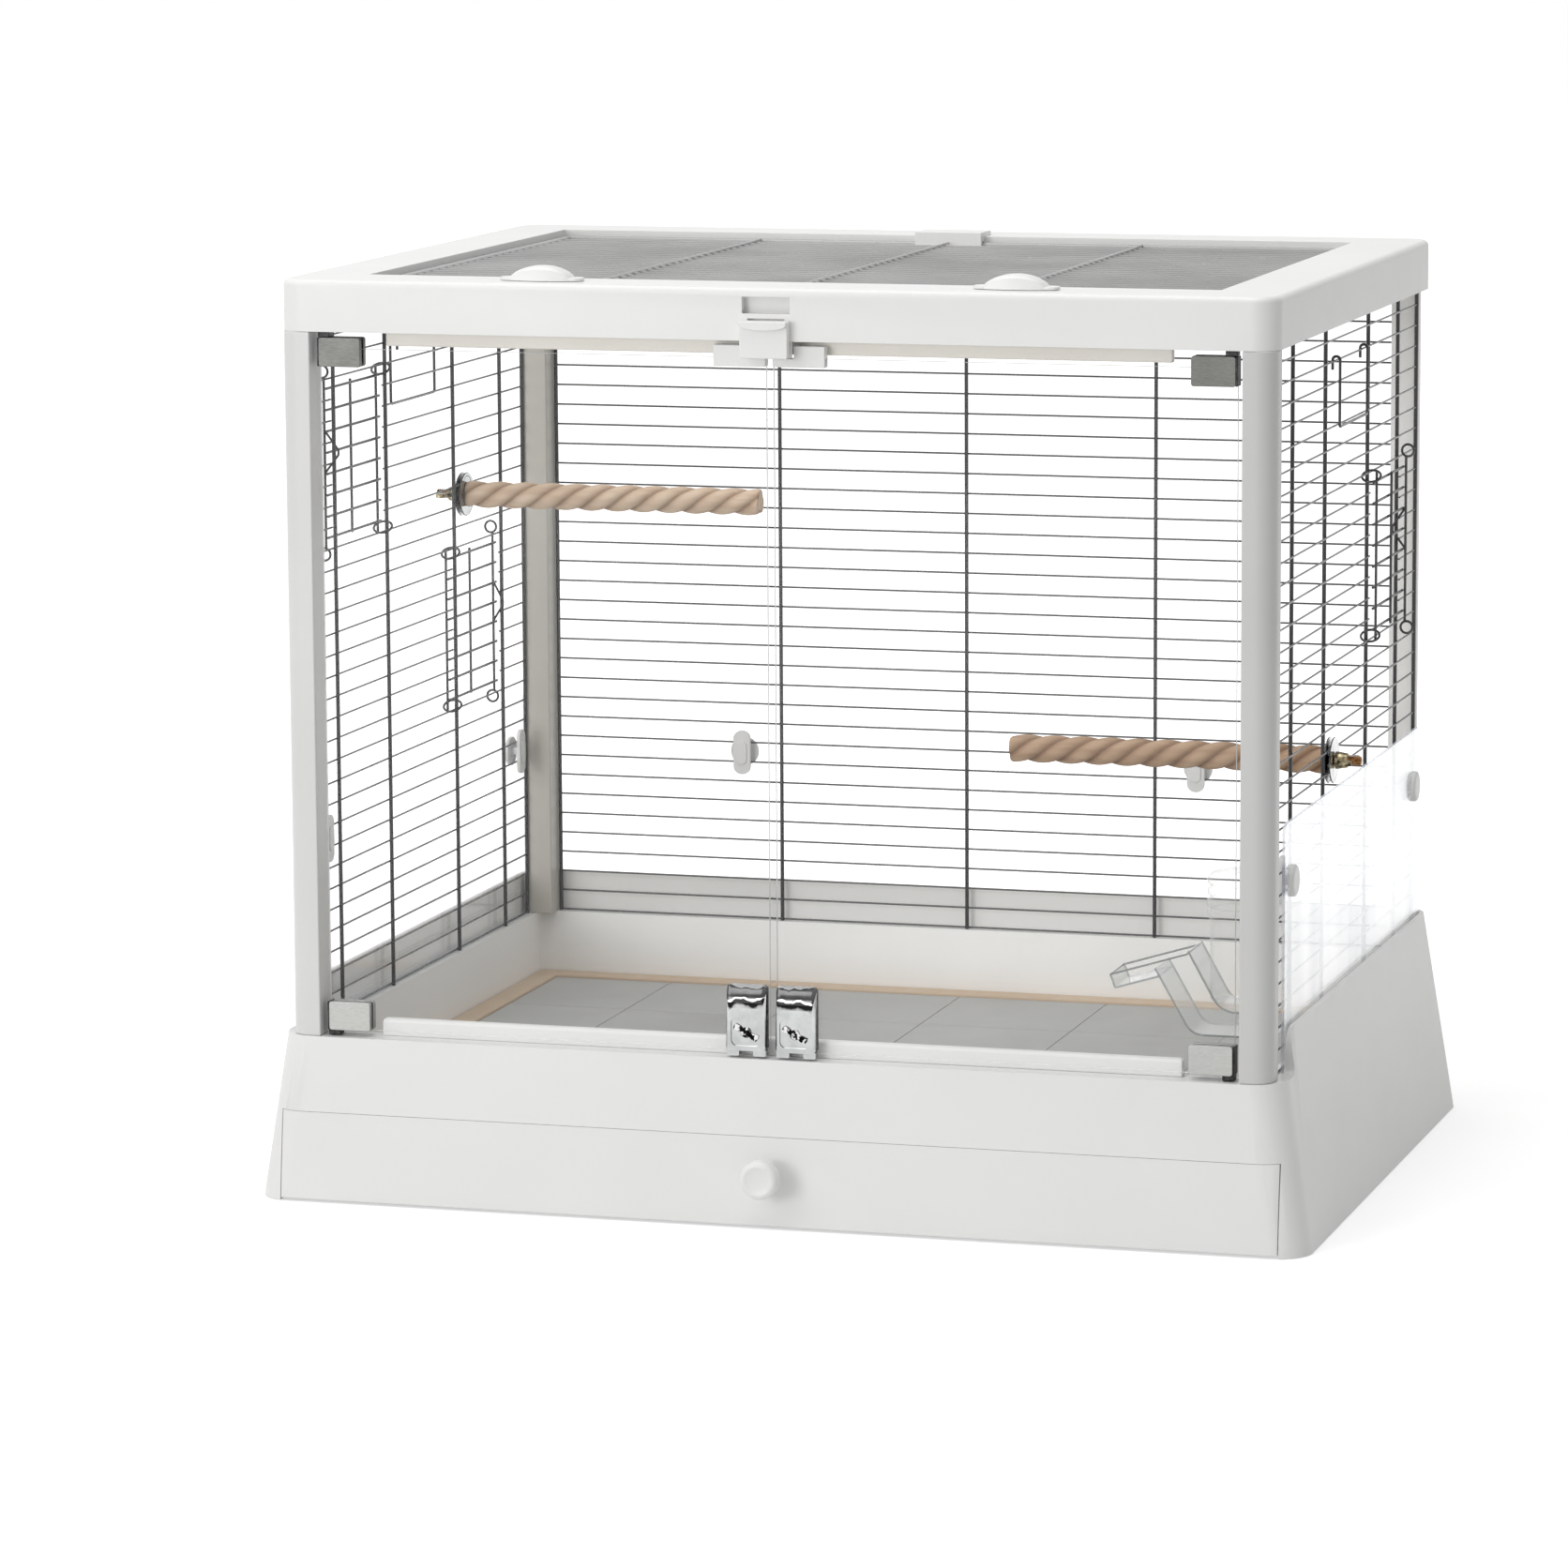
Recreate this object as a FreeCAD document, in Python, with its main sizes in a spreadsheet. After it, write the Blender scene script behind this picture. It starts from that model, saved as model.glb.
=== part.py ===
import FreeCAD, Part
import os
import re
import Sketcher
from FreeCAD import Placement, Rotation, Vector
from math import pi

# Bird cage: flared base with a drawer, wire walls and roof, clear front doors.
# Frame: +Z up, front towards -Y, origin at the centre of the base's flat bottom.

SIZES = {
    # Whole cage
    "width_overall": 670,
    "depth_overall": 490,
    "height_overall": 575,
    # Base moulding
    "base_height": 131,
    "ledge_height": 104,
    "base_flare_side": 20,
    "base_flare_end": 7,
    "base_corner": 22,
    "rim_wall": 3,
    "rim_step": 44,
    "rim_round_low": 6,
    "rim_round_high": 16,
    "front_wall": 28,
    "well_margin": 1.2,
    "shelf_height": 58,
    "shelf_sheet": 4,
    "shelf_width": 12,
    "base_sheet": 2,
    # Gaps between pieces
    "loose_gap": 0.4,
    "pivot_gap": 0.05,
    # Floor
    "floor_rim_width": 16,
    "floor_rim_height": 5,
    "floor_sheet": 3,
    "score_width": 1.2,
    "score_depth": 0.6,
    "score_pitch": 102,
    "score_columns": 5,
    "score_row_pitch": 110,
    "score_rows": 3,
    # Drawer
    "drawer_front_height": 56,
    "drawer_end": 17.5,
    "drawer_front_sheet": 12,
    "drawer_foot_gap": 1.5,
    "drawer_seam": 0.6,
    "tray_height": 48,
    "tray_wall": 2.5,
    "tray_side_gap": 3,
    "tray_rear_gap": 8,
    "knob_height": 34,
    "knob_diameter": 24,
    "knob_neck": 11,
    "knob_reach": 22,
    "knob_cap": 11,
    # Posts
    "front_post": 20,
    "front_post_round": 12,
    "front_post_inset": 3,
    "rear_post": 18.5,
    "rear_post_round": 14,
    # Top frame
    "frame_inset": 2,
    "frame_height": 32,
    "frame_corner": 16,
    "frame_round": 4,
    "roof_side_rail": 44,
    "roof_end_rail": 46,
    "roof_step": 9,
    "roof_ledge": 7,
    "core_depth": 20,
    "core_wall": 6,
    "core_end": 60,
    # Wire walls
    "wire": 2,
    "upright": 3,
    "wire_pitch": 13.4,
    "back_rod_pitch": 130,
    "side_rod_near": 65,
    "side_rod_far": 160,
    # Splash guards
    "guard_sheet": 2,
    "guard_perch_gap": 2,
    "guard_front_gap": 18,
    "guard_round": 6,
    "clip_rows_down": 4,
    "clip_back_x": 158,
    "clip_inset": 20,
    "clip_shank": 5,
    "clip_disc": 20,
    "clip_disc_height": 3,
    "clip_plate_width": 12,
    "clip_plate_height": 30,
    "clip_plate_sheet": 2.4,
    # Hatches in the side walls
    "hatch_wire": 1.8,
    "hatch_bars": 8,
    "hatch_gap": 0.5,
    "hatch_tail": 7,
    "finger_gap": 0.7,
    "finger_bar": 4,
    "loop_rise": 4,
    "loop_wire": 1.6,
    "hatch_low_row": 13,
    "hatch_mid_row": 18,
    "hatch_high_rows_down": 10,
    # Hangers on the side walls
    "hanger_rows_down": 2,
    "hanger_half": 42,
    "hanger_drop": 42,
    "hanger_hook": 6,
    "hanger_play": 0.45,
    # Perches
    "perch_diameter": 17,
    "perch_end": 103,
    "left_perch_y": 92,
    "left_perch_rows_up": 9,
    "right_perch_y": 48,
    "right_perch_row": 12,
    "washer_diameter": 29,
    "washer_sheet": 1.5,
    "bolt_diameter": 6,
    "bolt_out": 18,
    "nut_diameter": 11,
    "nut_height": 8,
    "wing_radius": 15.5,
    "wing_sheet": 3,
    "wing_rise": 5,
    # Waterer
    "water_inset": 28,
    "trough_half": 18,
    "trough_bottom": 125,
    "trough_deep": 21,
    "trough_wall": 2,
    "trough_bend": 44.7,
    "trough_mouth": 79.7,
    "trough_mouth_z": 168,
    "trough_round": 16,
    "lip_reach": 22,
    "lip_drop": 8.8,
    "lip_join": 1.5,
    "bottle_inset": 23.7,
    "bottle_diameter": 38,
    "bottle_top": 225,
    "bottle_wall": 2,
    "collar_low": 196,
    "collar_rib": 2,
    # Doors
    "door_inset": 9,
    "door_sheet": 3,
    "door_meet": 2.2,
    "door_side_gap": 4,
    "door_top_gap": 10.7,
    "door_low_gap": 3.6,
    "pivot_inset": 3.5,
    "pivot_diameter": 6,
    "pivot_reach": 5,
    "pivot_collar": 8,
    "clamp_width": 28,
    "clamp_height": 18,
    "clamp_depth": 11,
    "clamp_lift": 3.6,
    "clip_low_gap": 16,
    "clip_top_gap": 3,
    "clip_reach": 35,
    "clip_start": 2.2,
    "clip_sheet": 2,
    "catch_x": 16,
    "catch_width": 25,
    "catch_height": 44,
    "catch_depth": 7.4,
    "catch_lift": 1,
    "catch_round": 3,
    "catch_recess": 1.5,
    "catch_recess_width": 15,
    "catch_recess_height": 20,
    "catch_notch_width": 9,
    "catch_notch_height": 3,
    "catch_recess_rise": 26,
    "sill_gap": 5.4,
    "sill_height": 11,
    "sill_clear": 1,
    "sill_depth": 7.5,
    "sill_round": 2.5,
    "strip_gap": 13.4,
    "strip_height": 9,
    "strip_clear": 3,
    "strip_depth": 6,
    # Door latch in the front of the top frame
    "slider_half": 15,
    "slider_drop": 10,
    "slider_rise": 12.5,
    "slider_front": 6,
    "slider_plate_half": 15.2,
    "slider_plate_rise": 11,
    "slider_neck_half": 11.2,
    "slider_neck_rise": 6,
    "slider_neck_depth": 1.5,
    "slider_plate_depth": 3.5,
    "slider_travel": 7.5,
    "slider_lip": 3,
    "slider_lip_height": 5.5,
    "slider_play": 0.3,
    "recess_half": 15,
    "recess_height": 10,
    "recess_depth": 6,
    "recess_drop": 1.5,
    # Wire roof lid
    "lid_gap": 2,
    "lid_rod": 4,
    "lid_wires": 26,
    "lid_cross_x": 130,
    "roof_clip_half": 22.5,
    "roof_clip_rise": 3,
    "roof_clip_sit": 16,
    "roof_clip_nose": 3,
    "roof_bore_gap": 0.15,
    # Turn latches on the front rail
    "dome_x": 149,
    "dome_inset": 24,
    "dome_length": 41,
    "dome_width": 20,
    "dome_height": 9,
    "dome_foot_length": 53,
    "dome_foot_width": 13,
    "dome_foot_sheet": 1.8,
    "dome_lift": 0.3,
    "dome_pin": 6,
    "dome_pin_reach": 8,
}

doc = FreeCAD.newDocument("bird_cage")
sheet = doc.addObject("Spreadsheet::Sheet", "Dims")
for row, (alias, value) in enumerate(SIZES.items(), start=1):
    sheet.set(f"A{row}", alias)
    sheet.set(f"B{row}", str(value))
    sheet.setAlias(f"B{row}", alias)
doc.recompute()

X_TURN = Rotation(Vector(0, 1, 0), 90)
Y_TURN = Rotation(Vector(1, 0, 0), -90)
NO_TURN = Rotation()
BUTTON_SIDES = 12
ROUGH = 9
HALF_TURN = Rotation(Vector(0, 0, 1), 180)
QUARTER_TURN = Rotation(Vector(0, 0, 1), 90)

nodes = []


def ex(text):
    """Write a formula in sheet names as an expression of the document."""
    return re.sub(r"[a-z_]+", lambda m: f"Dims.{m.group(0)}" if m.group(0) in SIZES else m.group(0), text)


def neg(text):
    return f"-({text})"


def both(text):
    """A span that is the same on both sides of the middle."""
    return neg(text), text


def around(middle, half):
    return f"({middle}) - ({half})", f"({middle}) + ({half})"


def side_span(side, inner, outer):
    """A span between two distances from the middle plane, on the left (-1) or right (1)."""
    if side < 0:
        return neg(outer), neg(inner)
    return inner, outer


def node(obj, label):
    """Name a finished sub-part and list it for export."""
    obj.Label = label
    nodes.append(obj)
    return obj


def bind(obj, **formulas):
    for name, text in formulas.items():
        obj.setExpression(name, ex(text))
    return obj


def place(obj, x, y, z, turn=NO_TURN):
    obj.Placement = Placement(Vector(), turn)
    for axis, text in zip("xyz", (x, y, z)):
        obj.setExpression(f"Placement.Base.{axis}", ex(text))
    return obj


# Part primitives and booleans

def box(name, x, y, z):
    obj = doc.addObject("Part::Box", name)
    for size, (low, high) in zip(("Length", "Width", "Height"), (x, y, z)):
        obj.setExpression(size, ex(f"({high}) - ({low})"))
    return place(obj, x[0], y[0], z[0])


def cylinder(name, start, radius, length, turn=NO_TURN):
    obj = doc.addObject("Part::Cylinder", name)
    bind(obj, Radius=radius, Height=length)
    return place(obj, *start, turn)


def prism(name, start, flat, length, turn=NO_TURN):
    """A button with flat sides; flat is the distance from its middle to each side."""
    obj = doc.addObject("Part::Prism", name)
    obj.Polygon = BUTTON_SIDES
    bind(obj, Circumradius=f"({flat}) / cos(180 / {BUTTON_SIDES})", Height=length)
    return place(obj, *start, turn)


def fuse(name, pieces):
    obj = doc.addObject("Part::MultiFuse", name)
    obj.Shapes = pieces
    obj.Refine = True
    return obj


def cut(name, base, tool):
    obj = doc.addObject("Part::Cut", name)
    obj.Base = base
    obj.Tool = tool
    obj.Refine = True
    return obj


def common(name, first, second):
    obj = doc.addObject("Part::Common", name)
    obj.Base = first
    obj.Tool = second
    return obj


def group(name, pieces):
    obj = doc.addObject("Part::Compound", name)
    obj.Links = pieces
    return obj


def mirror(name, source):
    """The same piece on the other side of the cage's middle plane."""
    obj = doc.addObject("Part::Mirroring", name)
    obj.Source = source
    obj.Normal = Vector(1, 0, 0)
    return obj


# Bodies, sketches and features

def new_body(name):
    return doc.addObject("PartDesign::Body", name)


def origin(body, role):
    return next(item for item in body.Origin.OriginFeatures if item.Role == role)


def new_sketch(body, name, plane, corner, level):
    sketch = body.newObject("Sketcher::SketchObject", name)
    sketch.AttachmentSupport = [(origin(body, plane), "")]
    sketch.MapMode = "FlatFace"
    for axis, text in zip("xyz", (*corner, level)):
        sketch.setExpression(f"AttachmentOffset.Base.{axis}", ex(text))
    return sketch


def dimension(sketch, name, text, *constraint):
    index = sketch.addConstraint(Sketcher.Constraint(*constraint))
    sketch.renameConstraint(index, name)
    sketch.setExpression(f"Constraints.{name}", ex(text))


def rectangle(body, name, plane, across, up, level="0"):
    """A rectangle between two spans, drawn from its low corner."""
    sketch = new_sketch(body, name, plane, (across[0], up[0]), level)
    corners = [Vector(0, 0), Vector(ROUGH, 0), Vector(ROUGH, ROUGH), Vector(0, ROUGH)]
    for start, end in zip(corners, corners[1:] + corners[:1]):
        sketch.addGeometry(Part.LineSegment(start, end), False)
    for line in range(4):
        sketch.addConstraint(Sketcher.Constraint("Coincident", line, 2, (line + 1) % 4, 1))
        sketch.addConstraint(Sketcher.Constraint("Vertical" if line % 2 else "Horizontal", line))
    sketch.addConstraint(Sketcher.Constraint("Coincident", 0, 1, -1, 1))
    dimension(sketch, "across", f"({across[1]}) - ({across[0]})", "DistanceX", 0, 1, 0, 2, ROUGH)
    dimension(sketch, "up", f"({up[1]}) - ({up[0]})", "DistanceY", 1, 1, 1, 2, ROUGH)
    return sketch


def rounded_rectangle(body, name, plane, across, up, radius, level="0"):
    """A rectangle between two spans whose corners are arcs."""
    sketch = new_sketch(body, name, plane, (across[0], up[0]), level)
    side, bend = 10 * ROUGH, ROUGH
    far = side - bend
    centres = [Vector(far, bend), Vector(far, far), Vector(bend, far), Vector(bend, bend)]
    for corner, centre in enumerate(centres):
        arc = Part.ArcOfCircle(Part.Circle(centre, Vector(0, 0, 1), bend),
                               (corner - 1) * pi / 2, corner * pi / 2)
        last = Part.ArcOfCircle(Part.Circle(centres[corner - 1], Vector(0, 0, 1), bend),
                                (corner - 2) * pi / 2, (corner - 1) * pi / 2)
        sketch.addGeometry(Part.LineSegment(last.EndPoint, arc.StartPoint), False)
        sketch.addGeometry(arc, False)
    for line in range(0, 8, 2):
        sketch.addConstraint(Sketcher.Constraint("Horizontal" if line % 4 == 0 else "Vertical", line))
        sketch.addConstraint(Sketcher.Constraint("Tangent", line, 2, line + 1, 1))
        sketch.addConstraint(Sketcher.Constraint("Tangent", line + 1, 2, (line + 2) % 8, 1))
    for arc in (3, 5, 7):
        sketch.addConstraint(Sketcher.Constraint("Equal", 1, arc))
    sketch.addConstraint(Sketcher.Constraint("PointOnObject", 0, 1, -1))
    sketch.addConstraint(Sketcher.Constraint("PointOnObject", 6, 1, -2))
    dimension(sketch, "bend", radius, "Radius", 1, bend)
    dimension(sketch, "across", f"({across[1]}) - ({across[0]})", "DistanceX", -1, 1, 2, 1, side)
    dimension(sketch, "up", f"({up[1]}) - ({up[0]})", "DistanceY", -1, 1, 4, 1, side)
    return sketch


def outline(body, name, plane, points, level="0"):
    """A closed outline of straight lines, each corner at its own place."""
    sketch = new_sketch(body, name, plane, ("0", "0"), level)
    count = len(points)
    start = [Rotation(Vector(0, 0, 1), 360 / count * turn).multVec(Vector(ROUGH, 0)) for turn in range(count)]
    for line in range(count):
        sketch.addGeometry(Part.LineSegment(start[line], start[(line + 1) % count]), False)
    for line, (across, up) in enumerate(points):
        sketch.addConstraint(Sketcher.Constraint("Coincident", line, 2, (line + 1) % count, 1))
        dimension(sketch, f"across{line}", across, "DistanceX", -1, 1, line, 1, start[line].x)
        dimension(sketch, f"up{line}", up, "DistanceY", -1, 1, line, 1, start[line].y)
    return sketch


def circle(body, name, plane, centre, diameter, level="0"):
    sketch = new_sketch(body, name, plane, centre, level)
    sketch.addGeometry(Part.Circle(Vector(), Vector(0, 0, 1), ROUGH), False)
    sketch.addConstraint(Sketcher.Constraint("Coincident", 0, 3, -1, 1))
    dimension(sketch, "across", diameter, "Diameter", 0, 2 * ROUGH)
    return sketch


def pad(body, sketch, length):
    feature = body.newObject("PartDesign::Pad", f"{sketch.Name}_pad")
    feature.Profile = sketch
    return bind(feature, Length=length)


def pocket(body, sketch, depth, upward=False):
    feature = body.newObject("PartDesign::Pocket", f"{sketch.Name}_pocket")
    feature.Profile = sketch
    feature.Reversed = upward
    return bind(feature, Length=depth)


def revolve(body, sketch, axis):
    feature = body.newObject("PartDesign::Revolution", f"{sketch.Name}_turned")
    feature.Profile = sketch
    feature.ReferenceAxis = (sketch, [axis])
    feature.Angle = 360
    return feature


def repeat(body, feature, axis, length, count):
    pattern = body.newObject("PartDesign::LinearPattern", f"{feature.Name}_row")
    pattern.Originals = [feature]
    pattern.Direction = (origin(body, axis), [""])
    bind(pattern, Length=length, Occurrences=count)
    body.Tip = pattern
    return pattern


def both_sides(body, feature, plane="YZ_Plane"):
    mirrored = body.newObject("PartDesign::Mirrored", f"{feature.Name}_both")
    mirrored.Originals = [feature]
    mirrored.MirrorPlane = (origin(body, plane), [""])
    body.Tip = mirrored
    return mirrored


def edges(shape, test):
    return [f"Edge{number}" for number, edge in enumerate(shape.Edges, start=1) if test(edge)]


def fillet(body, test, radius):
    """Round those edges of the body so far that pass the test."""
    doc.recompute()
    base = body.Tip
    feature = body.newObject("PartDesign::Fillet", f"{base.Name}_round")
    feature.Base = (base, edges(base.Shape, test))
    return bind(feature, Radius=radius)


def near(first, second):
    return abs(first - second) < 0.01


def upright_edge(edge):
    box_of = edge.BoundBox
    return near(box_of.XLength, 0) and near(box_of.YLength, 0)


def level_edge(edge, height):
    return near(edge.BoundBox.ZMin, height) and near(edge.BoundBox.ZMax, height)


# Places that several pieces share

HALF_W = "(width_overall / 2)"
HALF_D = "(depth_overall / 2)"
RIM_X = "(width_overall / 2 - base_flare_side)"
RIM_Y = "(depth_overall / 2 - base_flare_end)"
FRAME_X = f"({RIM_X} - frame_inset)"
FRAME_Y = RIM_Y
FRAME_LOW = "(height_overall - frame_height)"
WALL_Z = ("ledge_height", FRAME_LOW)


def wall_layers(rim):
    """Distances from the middle to the layers of one wall, from the rim inwards."""
    recess = f"({rim} - rim_wall)"
    guard_out = f"({recess} - loose_gap)"
    guard_in = f"({guard_out} - guard_sheet)"
    upright_out = f"({guard_in} - loose_gap)"
    bar_out = f"({upright_out} - (upright - wire) / 2)"
    bar_in = f"({bar_out} - wire)"
    rod_in = f"({bar_in} - upright)"
    return {
        "recess": recess,
        "guard": (guard_in, guard_out),
        "upright": (f"({upright_out} - upright)", upright_out),
        "bar": (bar_in, bar_out),
        "rod": (rod_in, bar_in),
        "post": upright_out,
        "well": f"({rod_in} - well_margin)",
    }


SIDE = wall_layers(RIM_X)
BACK = wall_layers(RIM_Y)
WELL_FRONT = f"({HALF_D} - front_wall)"
FRONT_POST_OUT = f"({RIM_X} - front_post_inset)"
FRONT_POST_BACK = f"({FRAME_Y} - front_post)"
REAR_POST_IN_X = f"({SIDE['post']} - rear_post)"
REAR_POST_IN_Y = f"({BACK['post']} - rear_post)"
RECESS_ROUND = "(base_corner - rim_wall)"
DRAWER_BACK = f"({HALF_D} - drawer_front_sheet)"
DRAWER_HALF = f"({HALF_W} - drawer_end)"
BAY_X = f"({SIDE['well']} - base_sheet)"
BAY_Y = f"({BACK['well']} - base_sheet)"
BAY_TOP = "(shelf_height - shelf_sheet)"
DOOR_PLANE = f"({FRAME_Y} - door_inset)"
DOOR_FRONT = f"({DOOR_PLANE} + door_sheet / 2)"
DOOR_BACK = f"({DOOR_PLANE} - door_sheet / 2)"
DOOR_EDGE = f"({FRONT_POST_OUT} - front_post - door_side_gap)"
CLAMP_X = (f"({DOOR_EDGE} + loose_gap - clamp_width)", f"({DOOR_EDGE} + loose_gap)")
PIVOT_X = f"({DOOR_EDGE} - pivot_inset)"
SILL_FRONT = f"({DOOR_BACK} - sill_clear)"
STRIP_FRONT = f"({DOOR_BACK} - strip_clear)"
DOME_Y = f"({FRAME_Y} - dome_inset)"
ROWS = f"(floor(({FRAME_LOW} - ledge_height - wire) / wire_pitch) + 1)"
HATCH_HIGH_ROW = f"({ROWS} - hatch_high_rows_down)"
HANGER_ROW = f"({ROWS} - hanger_rows_down)"
LEFT_PERCH_ROW = "(hatch_low_row + left_perch_rows_up)"


def row_height(row):
    """Middle of one wire of the walls, counted from the ledge."""
    return f"(ledge_height + wire / 2 + wire_pitch * ({row}))"


# Base, floor and drawer

def base_form(body):
    """The flared block that the base and the drawer front are both cut from."""
    end = outline(body, f"{body.Name}_end", "XZ_Plane", [
        (neg(HALF_W), "0"), (HALF_W, "0"), (RIM_X, "base_height"), (neg(RIM_X), "base_height")], neg(HALF_D))
    pad(body, end, "depth_overall")
    ahead = f"-{HALF_D} - 1"
    slope = outline(body, f"{body.Name}_slope", "YZ_Plane", [
        (neg(HALF_D), "0"), (neg(RIM_Y), "base_height"), (ahead, "base_height"), (ahead, "0")], f"{HALF_W} + 1")
    both_sides(body, pocket(body, slope, "width_overall + 2"), "XZ_Plane")
    fillet(body, lambda edge: edge.BoundBox.ZLength > 1, "base_corner")


def rim_profile(body):
    """Side view of what is taken off the front: a low ledge that rises to the rim in an S-curve."""
    sketch = new_sketch(body, "rim_curve", "YZ_Plane", (f"-{HALF_D} - 1", "ledge_height"), f"{HALF_W} + 1")
    rise = sheet.base_height - sheet.ledge_height
    low, high, wall = sheet.rim_round_low, sheet.rim_round_high, sheet.rim_step + 1
    end = wall + high
    points = [Vector(0, 0), Vector(wall - low, 0), Vector(wall, low), Vector(wall, rise - high),
              Vector(end, rise), Vector(end, rise + 1), Vector(0, rise + 1)]
    hollow = Part.Circle(Vector(wall - low, low), Vector(0, 0, 1), low)
    crown = Part.Circle(Vector(end, rise - high), Vector(0, 0, 1), high)
    sketch.addGeometry([
        Part.LineSegment(points[0], points[1]),
        Part.ArcOfCircle(hollow, -pi / 2, 0),
        Part.LineSegment(points[2], points[3]),
        Part.ArcOfCircle(crown, pi / 2, pi),
        Part.LineSegment(points[4], points[5]),
        Part.LineSegment(points[5], points[6]),
        Part.LineSegment(points[6], points[0])], False)
    for rule in (
            ("Coincident", 0, 1, -1, 1), ("Tangent", 0, 2, 1, 1), ("Tangent", 1, 2, 2, 1),
            ("Tangent", 2, 2, 3, 2), ("Coincident", 3, 1, 4, 1), ("Coincident", 4, 2, 5, 1),
            ("Coincident", 5, 2, 6, 1), ("Coincident", 6, 2, 0, 1), ("Horizontal", 0), ("Vertical", 2),
            ("Vertical", 4), ("Horizontal", 5), ("Vertical", 6), ("Vertical", 3, 3, 3, 1)):
        sketch.addConstraint(Sketcher.Constraint(*rule))
    dimension(sketch, "hollow", "rim_round_low", "Radius", 1, low)
    dimension(sketch, "crown", "rim_round_high", "Radius", 3, high)
    dimension(sketch, "wall", "rim_step + 1", "DistanceX", -1, 1, 2, 1, wall)
    dimension(sketch, "rise", "base_height - ledge_height", "DistanceY", -1, 1, 3, 1, rise)
    dimension(sketch, "over", "1", "DistanceY", 4, 1, 4, 2, 1)
    return sketch


def hollow_base(body):
    """Hollows under the side and rear walls, open below, that follow the flare."""
    top = "(ledge_height - shelf_sheet)"
    lean_x = f"(base_flare_side * {top} / base_height)"
    lean_y = f"(base_flare_end * {top} / base_height)"
    start_x = f"({SIDE['well']} + rim_wall)"
    start_y = f"({BACK['well']} + rim_wall)"
    skin_x = f"({HALF_W} - rim_wall)"
    skin_y = f"({HALF_D} - rim_wall)"
    end_y = f"({HALF_D} - base_corner - rim_wall)"
    end_x = f"({HALF_W} - base_corner - base_flare_side - rim_wall)"
    side = outline(body, "side_hollow", "XZ_Plane", [
        (start_x, "0"), (skin_x, "0"), (f"{skin_x} - {lean_x}", top), (start_x, top)], end_y)
    both_sides(body, pocket(body, side, f"2 * {end_y}"))
    rear = outline(body, "rear_hollow", "YZ_Plane", [
        (start_y, "0"), (skin_y, "0"), (f"{skin_y} - {lean_y}", top), (start_y, top)], end_x)
    pocket(body, rear, f"2 * {end_x}")


def base_shell():
    body = new_body("base")
    base_form(body)
    pocket(body, rim_profile(body), "width_overall + 2")
    recess = rounded_rectangle(body, "rim_recess", "XY_Plane", both(SIDE["recess"]),
                               (neg(f"{HALF_D} + 1"), BACK["recess"]), RECESS_ROUND, "base_height")
    pocket(body, recess, "base_height - ledge_height")
    well = rectangle(body, "well", "XY_Plane", both(SIDE["well"]), (neg(WELL_FRONT), BACK["well"]),
                     "ledge_height")
    pocket(body, well, "ledge_height - shelf_height")
    shelf = rectangle(body, "shelf_opening", "XY_Plane", both(f"{SIDE['well']} - shelf_width"),
                      (f"shelf_width - {WELL_FRONT}", f"{BACK['well']} - shelf_width"), "shelf_height")
    pocket(body, shelf, "shelf_sheet")
    bay = rectangle(body, "drawer_bay", "XZ_Plane", both(BAY_X), ("base_sheet", BAY_TOP), f"{HALF_D} + 1")
    pocket(body, bay, f"{HALF_D} + 1 + {BAY_Y}")
    front = rectangle(body, "drawer_recess", "XZ_Plane", both(f"{DRAWER_HALF} + drawer_seam"),
                      ("-1", "drawer_front_height + drawer_seam"), f"{HALF_D} + 1")
    pocket(body, front, "drawer_front_sheet + 1")
    hollow_base(body)
    socket = circle(body, "door_socket", "XY_Plane", (PIVOT_X, neg(DOOR_PLANE)),
                    "pivot_diameter + 2 * pivot_gap", "ledge_height")
    both_sides(body, pocket(body, socket, "pivot_reach + 1"))
    node(body, "base_shell")


def floor():
    outer_x = f"({SIDE['well']} - loose_gap)"
    outer_low = f"({WELL_FRONT} - loose_gap)"
    outer_high = f"({BACK['well']} - loose_gap)"
    inner_x = f"({outer_x} - floor_rim_width)"
    inner_y = (neg(f"{outer_low} - floor_rim_width"), f"{outer_high} - floor_rim_width")
    rim = new_body("floor_frame")
    pad(rim, rectangle(rim, "floor_frame_outer", "XY_Plane", both(outer_x), (neg(outer_low), outer_high),
                       "shelf_height"), "floor_rim_height")
    pocket(rim, rectangle(rim, "floor_frame_step", "XY_Plane", both(inner_x), inner_y,
                          "shelf_height + floor_rim_height"), "floor_rim_height")
    node(rim, "floor_rim")
    panel = new_body("floor_board")
    gap = "loose_gap / 2"
    top = "shelf_height + floor_sheet"
    panel_y = (f"{inner_y[0]} + {gap}", f"{inner_y[1]} - {gap}")
    panel_x = f"({inner_x} - {gap})"
    pad(panel, rectangle(panel, "board", "XY_Plane", both(panel_x), panel_y, "shelf_height"), "floor_sheet")
    first_x = "(-score_pitch * (score_columns - 1) / 2)"
    column = rectangle(panel, "score_column", "XY_Plane", around(first_x, "score_width / 2"), panel_y, top)
    repeat(panel, pocket(panel, column, "score_depth"), "X_Axis", "score_pitch * (score_columns - 1)",
           "score_columns")
    first_y = "(-score_row_pitch * (score_rows - 1) / 2)"
    row = rectangle(panel, "score_row", "XY_Plane", both(panel_x), around(first_y, "score_width / 2"), top)
    repeat(panel, pocket(panel, row, "score_depth"), "Y_Axis", "score_row_pitch * (score_rows - 1)",
           "score_rows")
    node(panel, "floor_panel")


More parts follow.
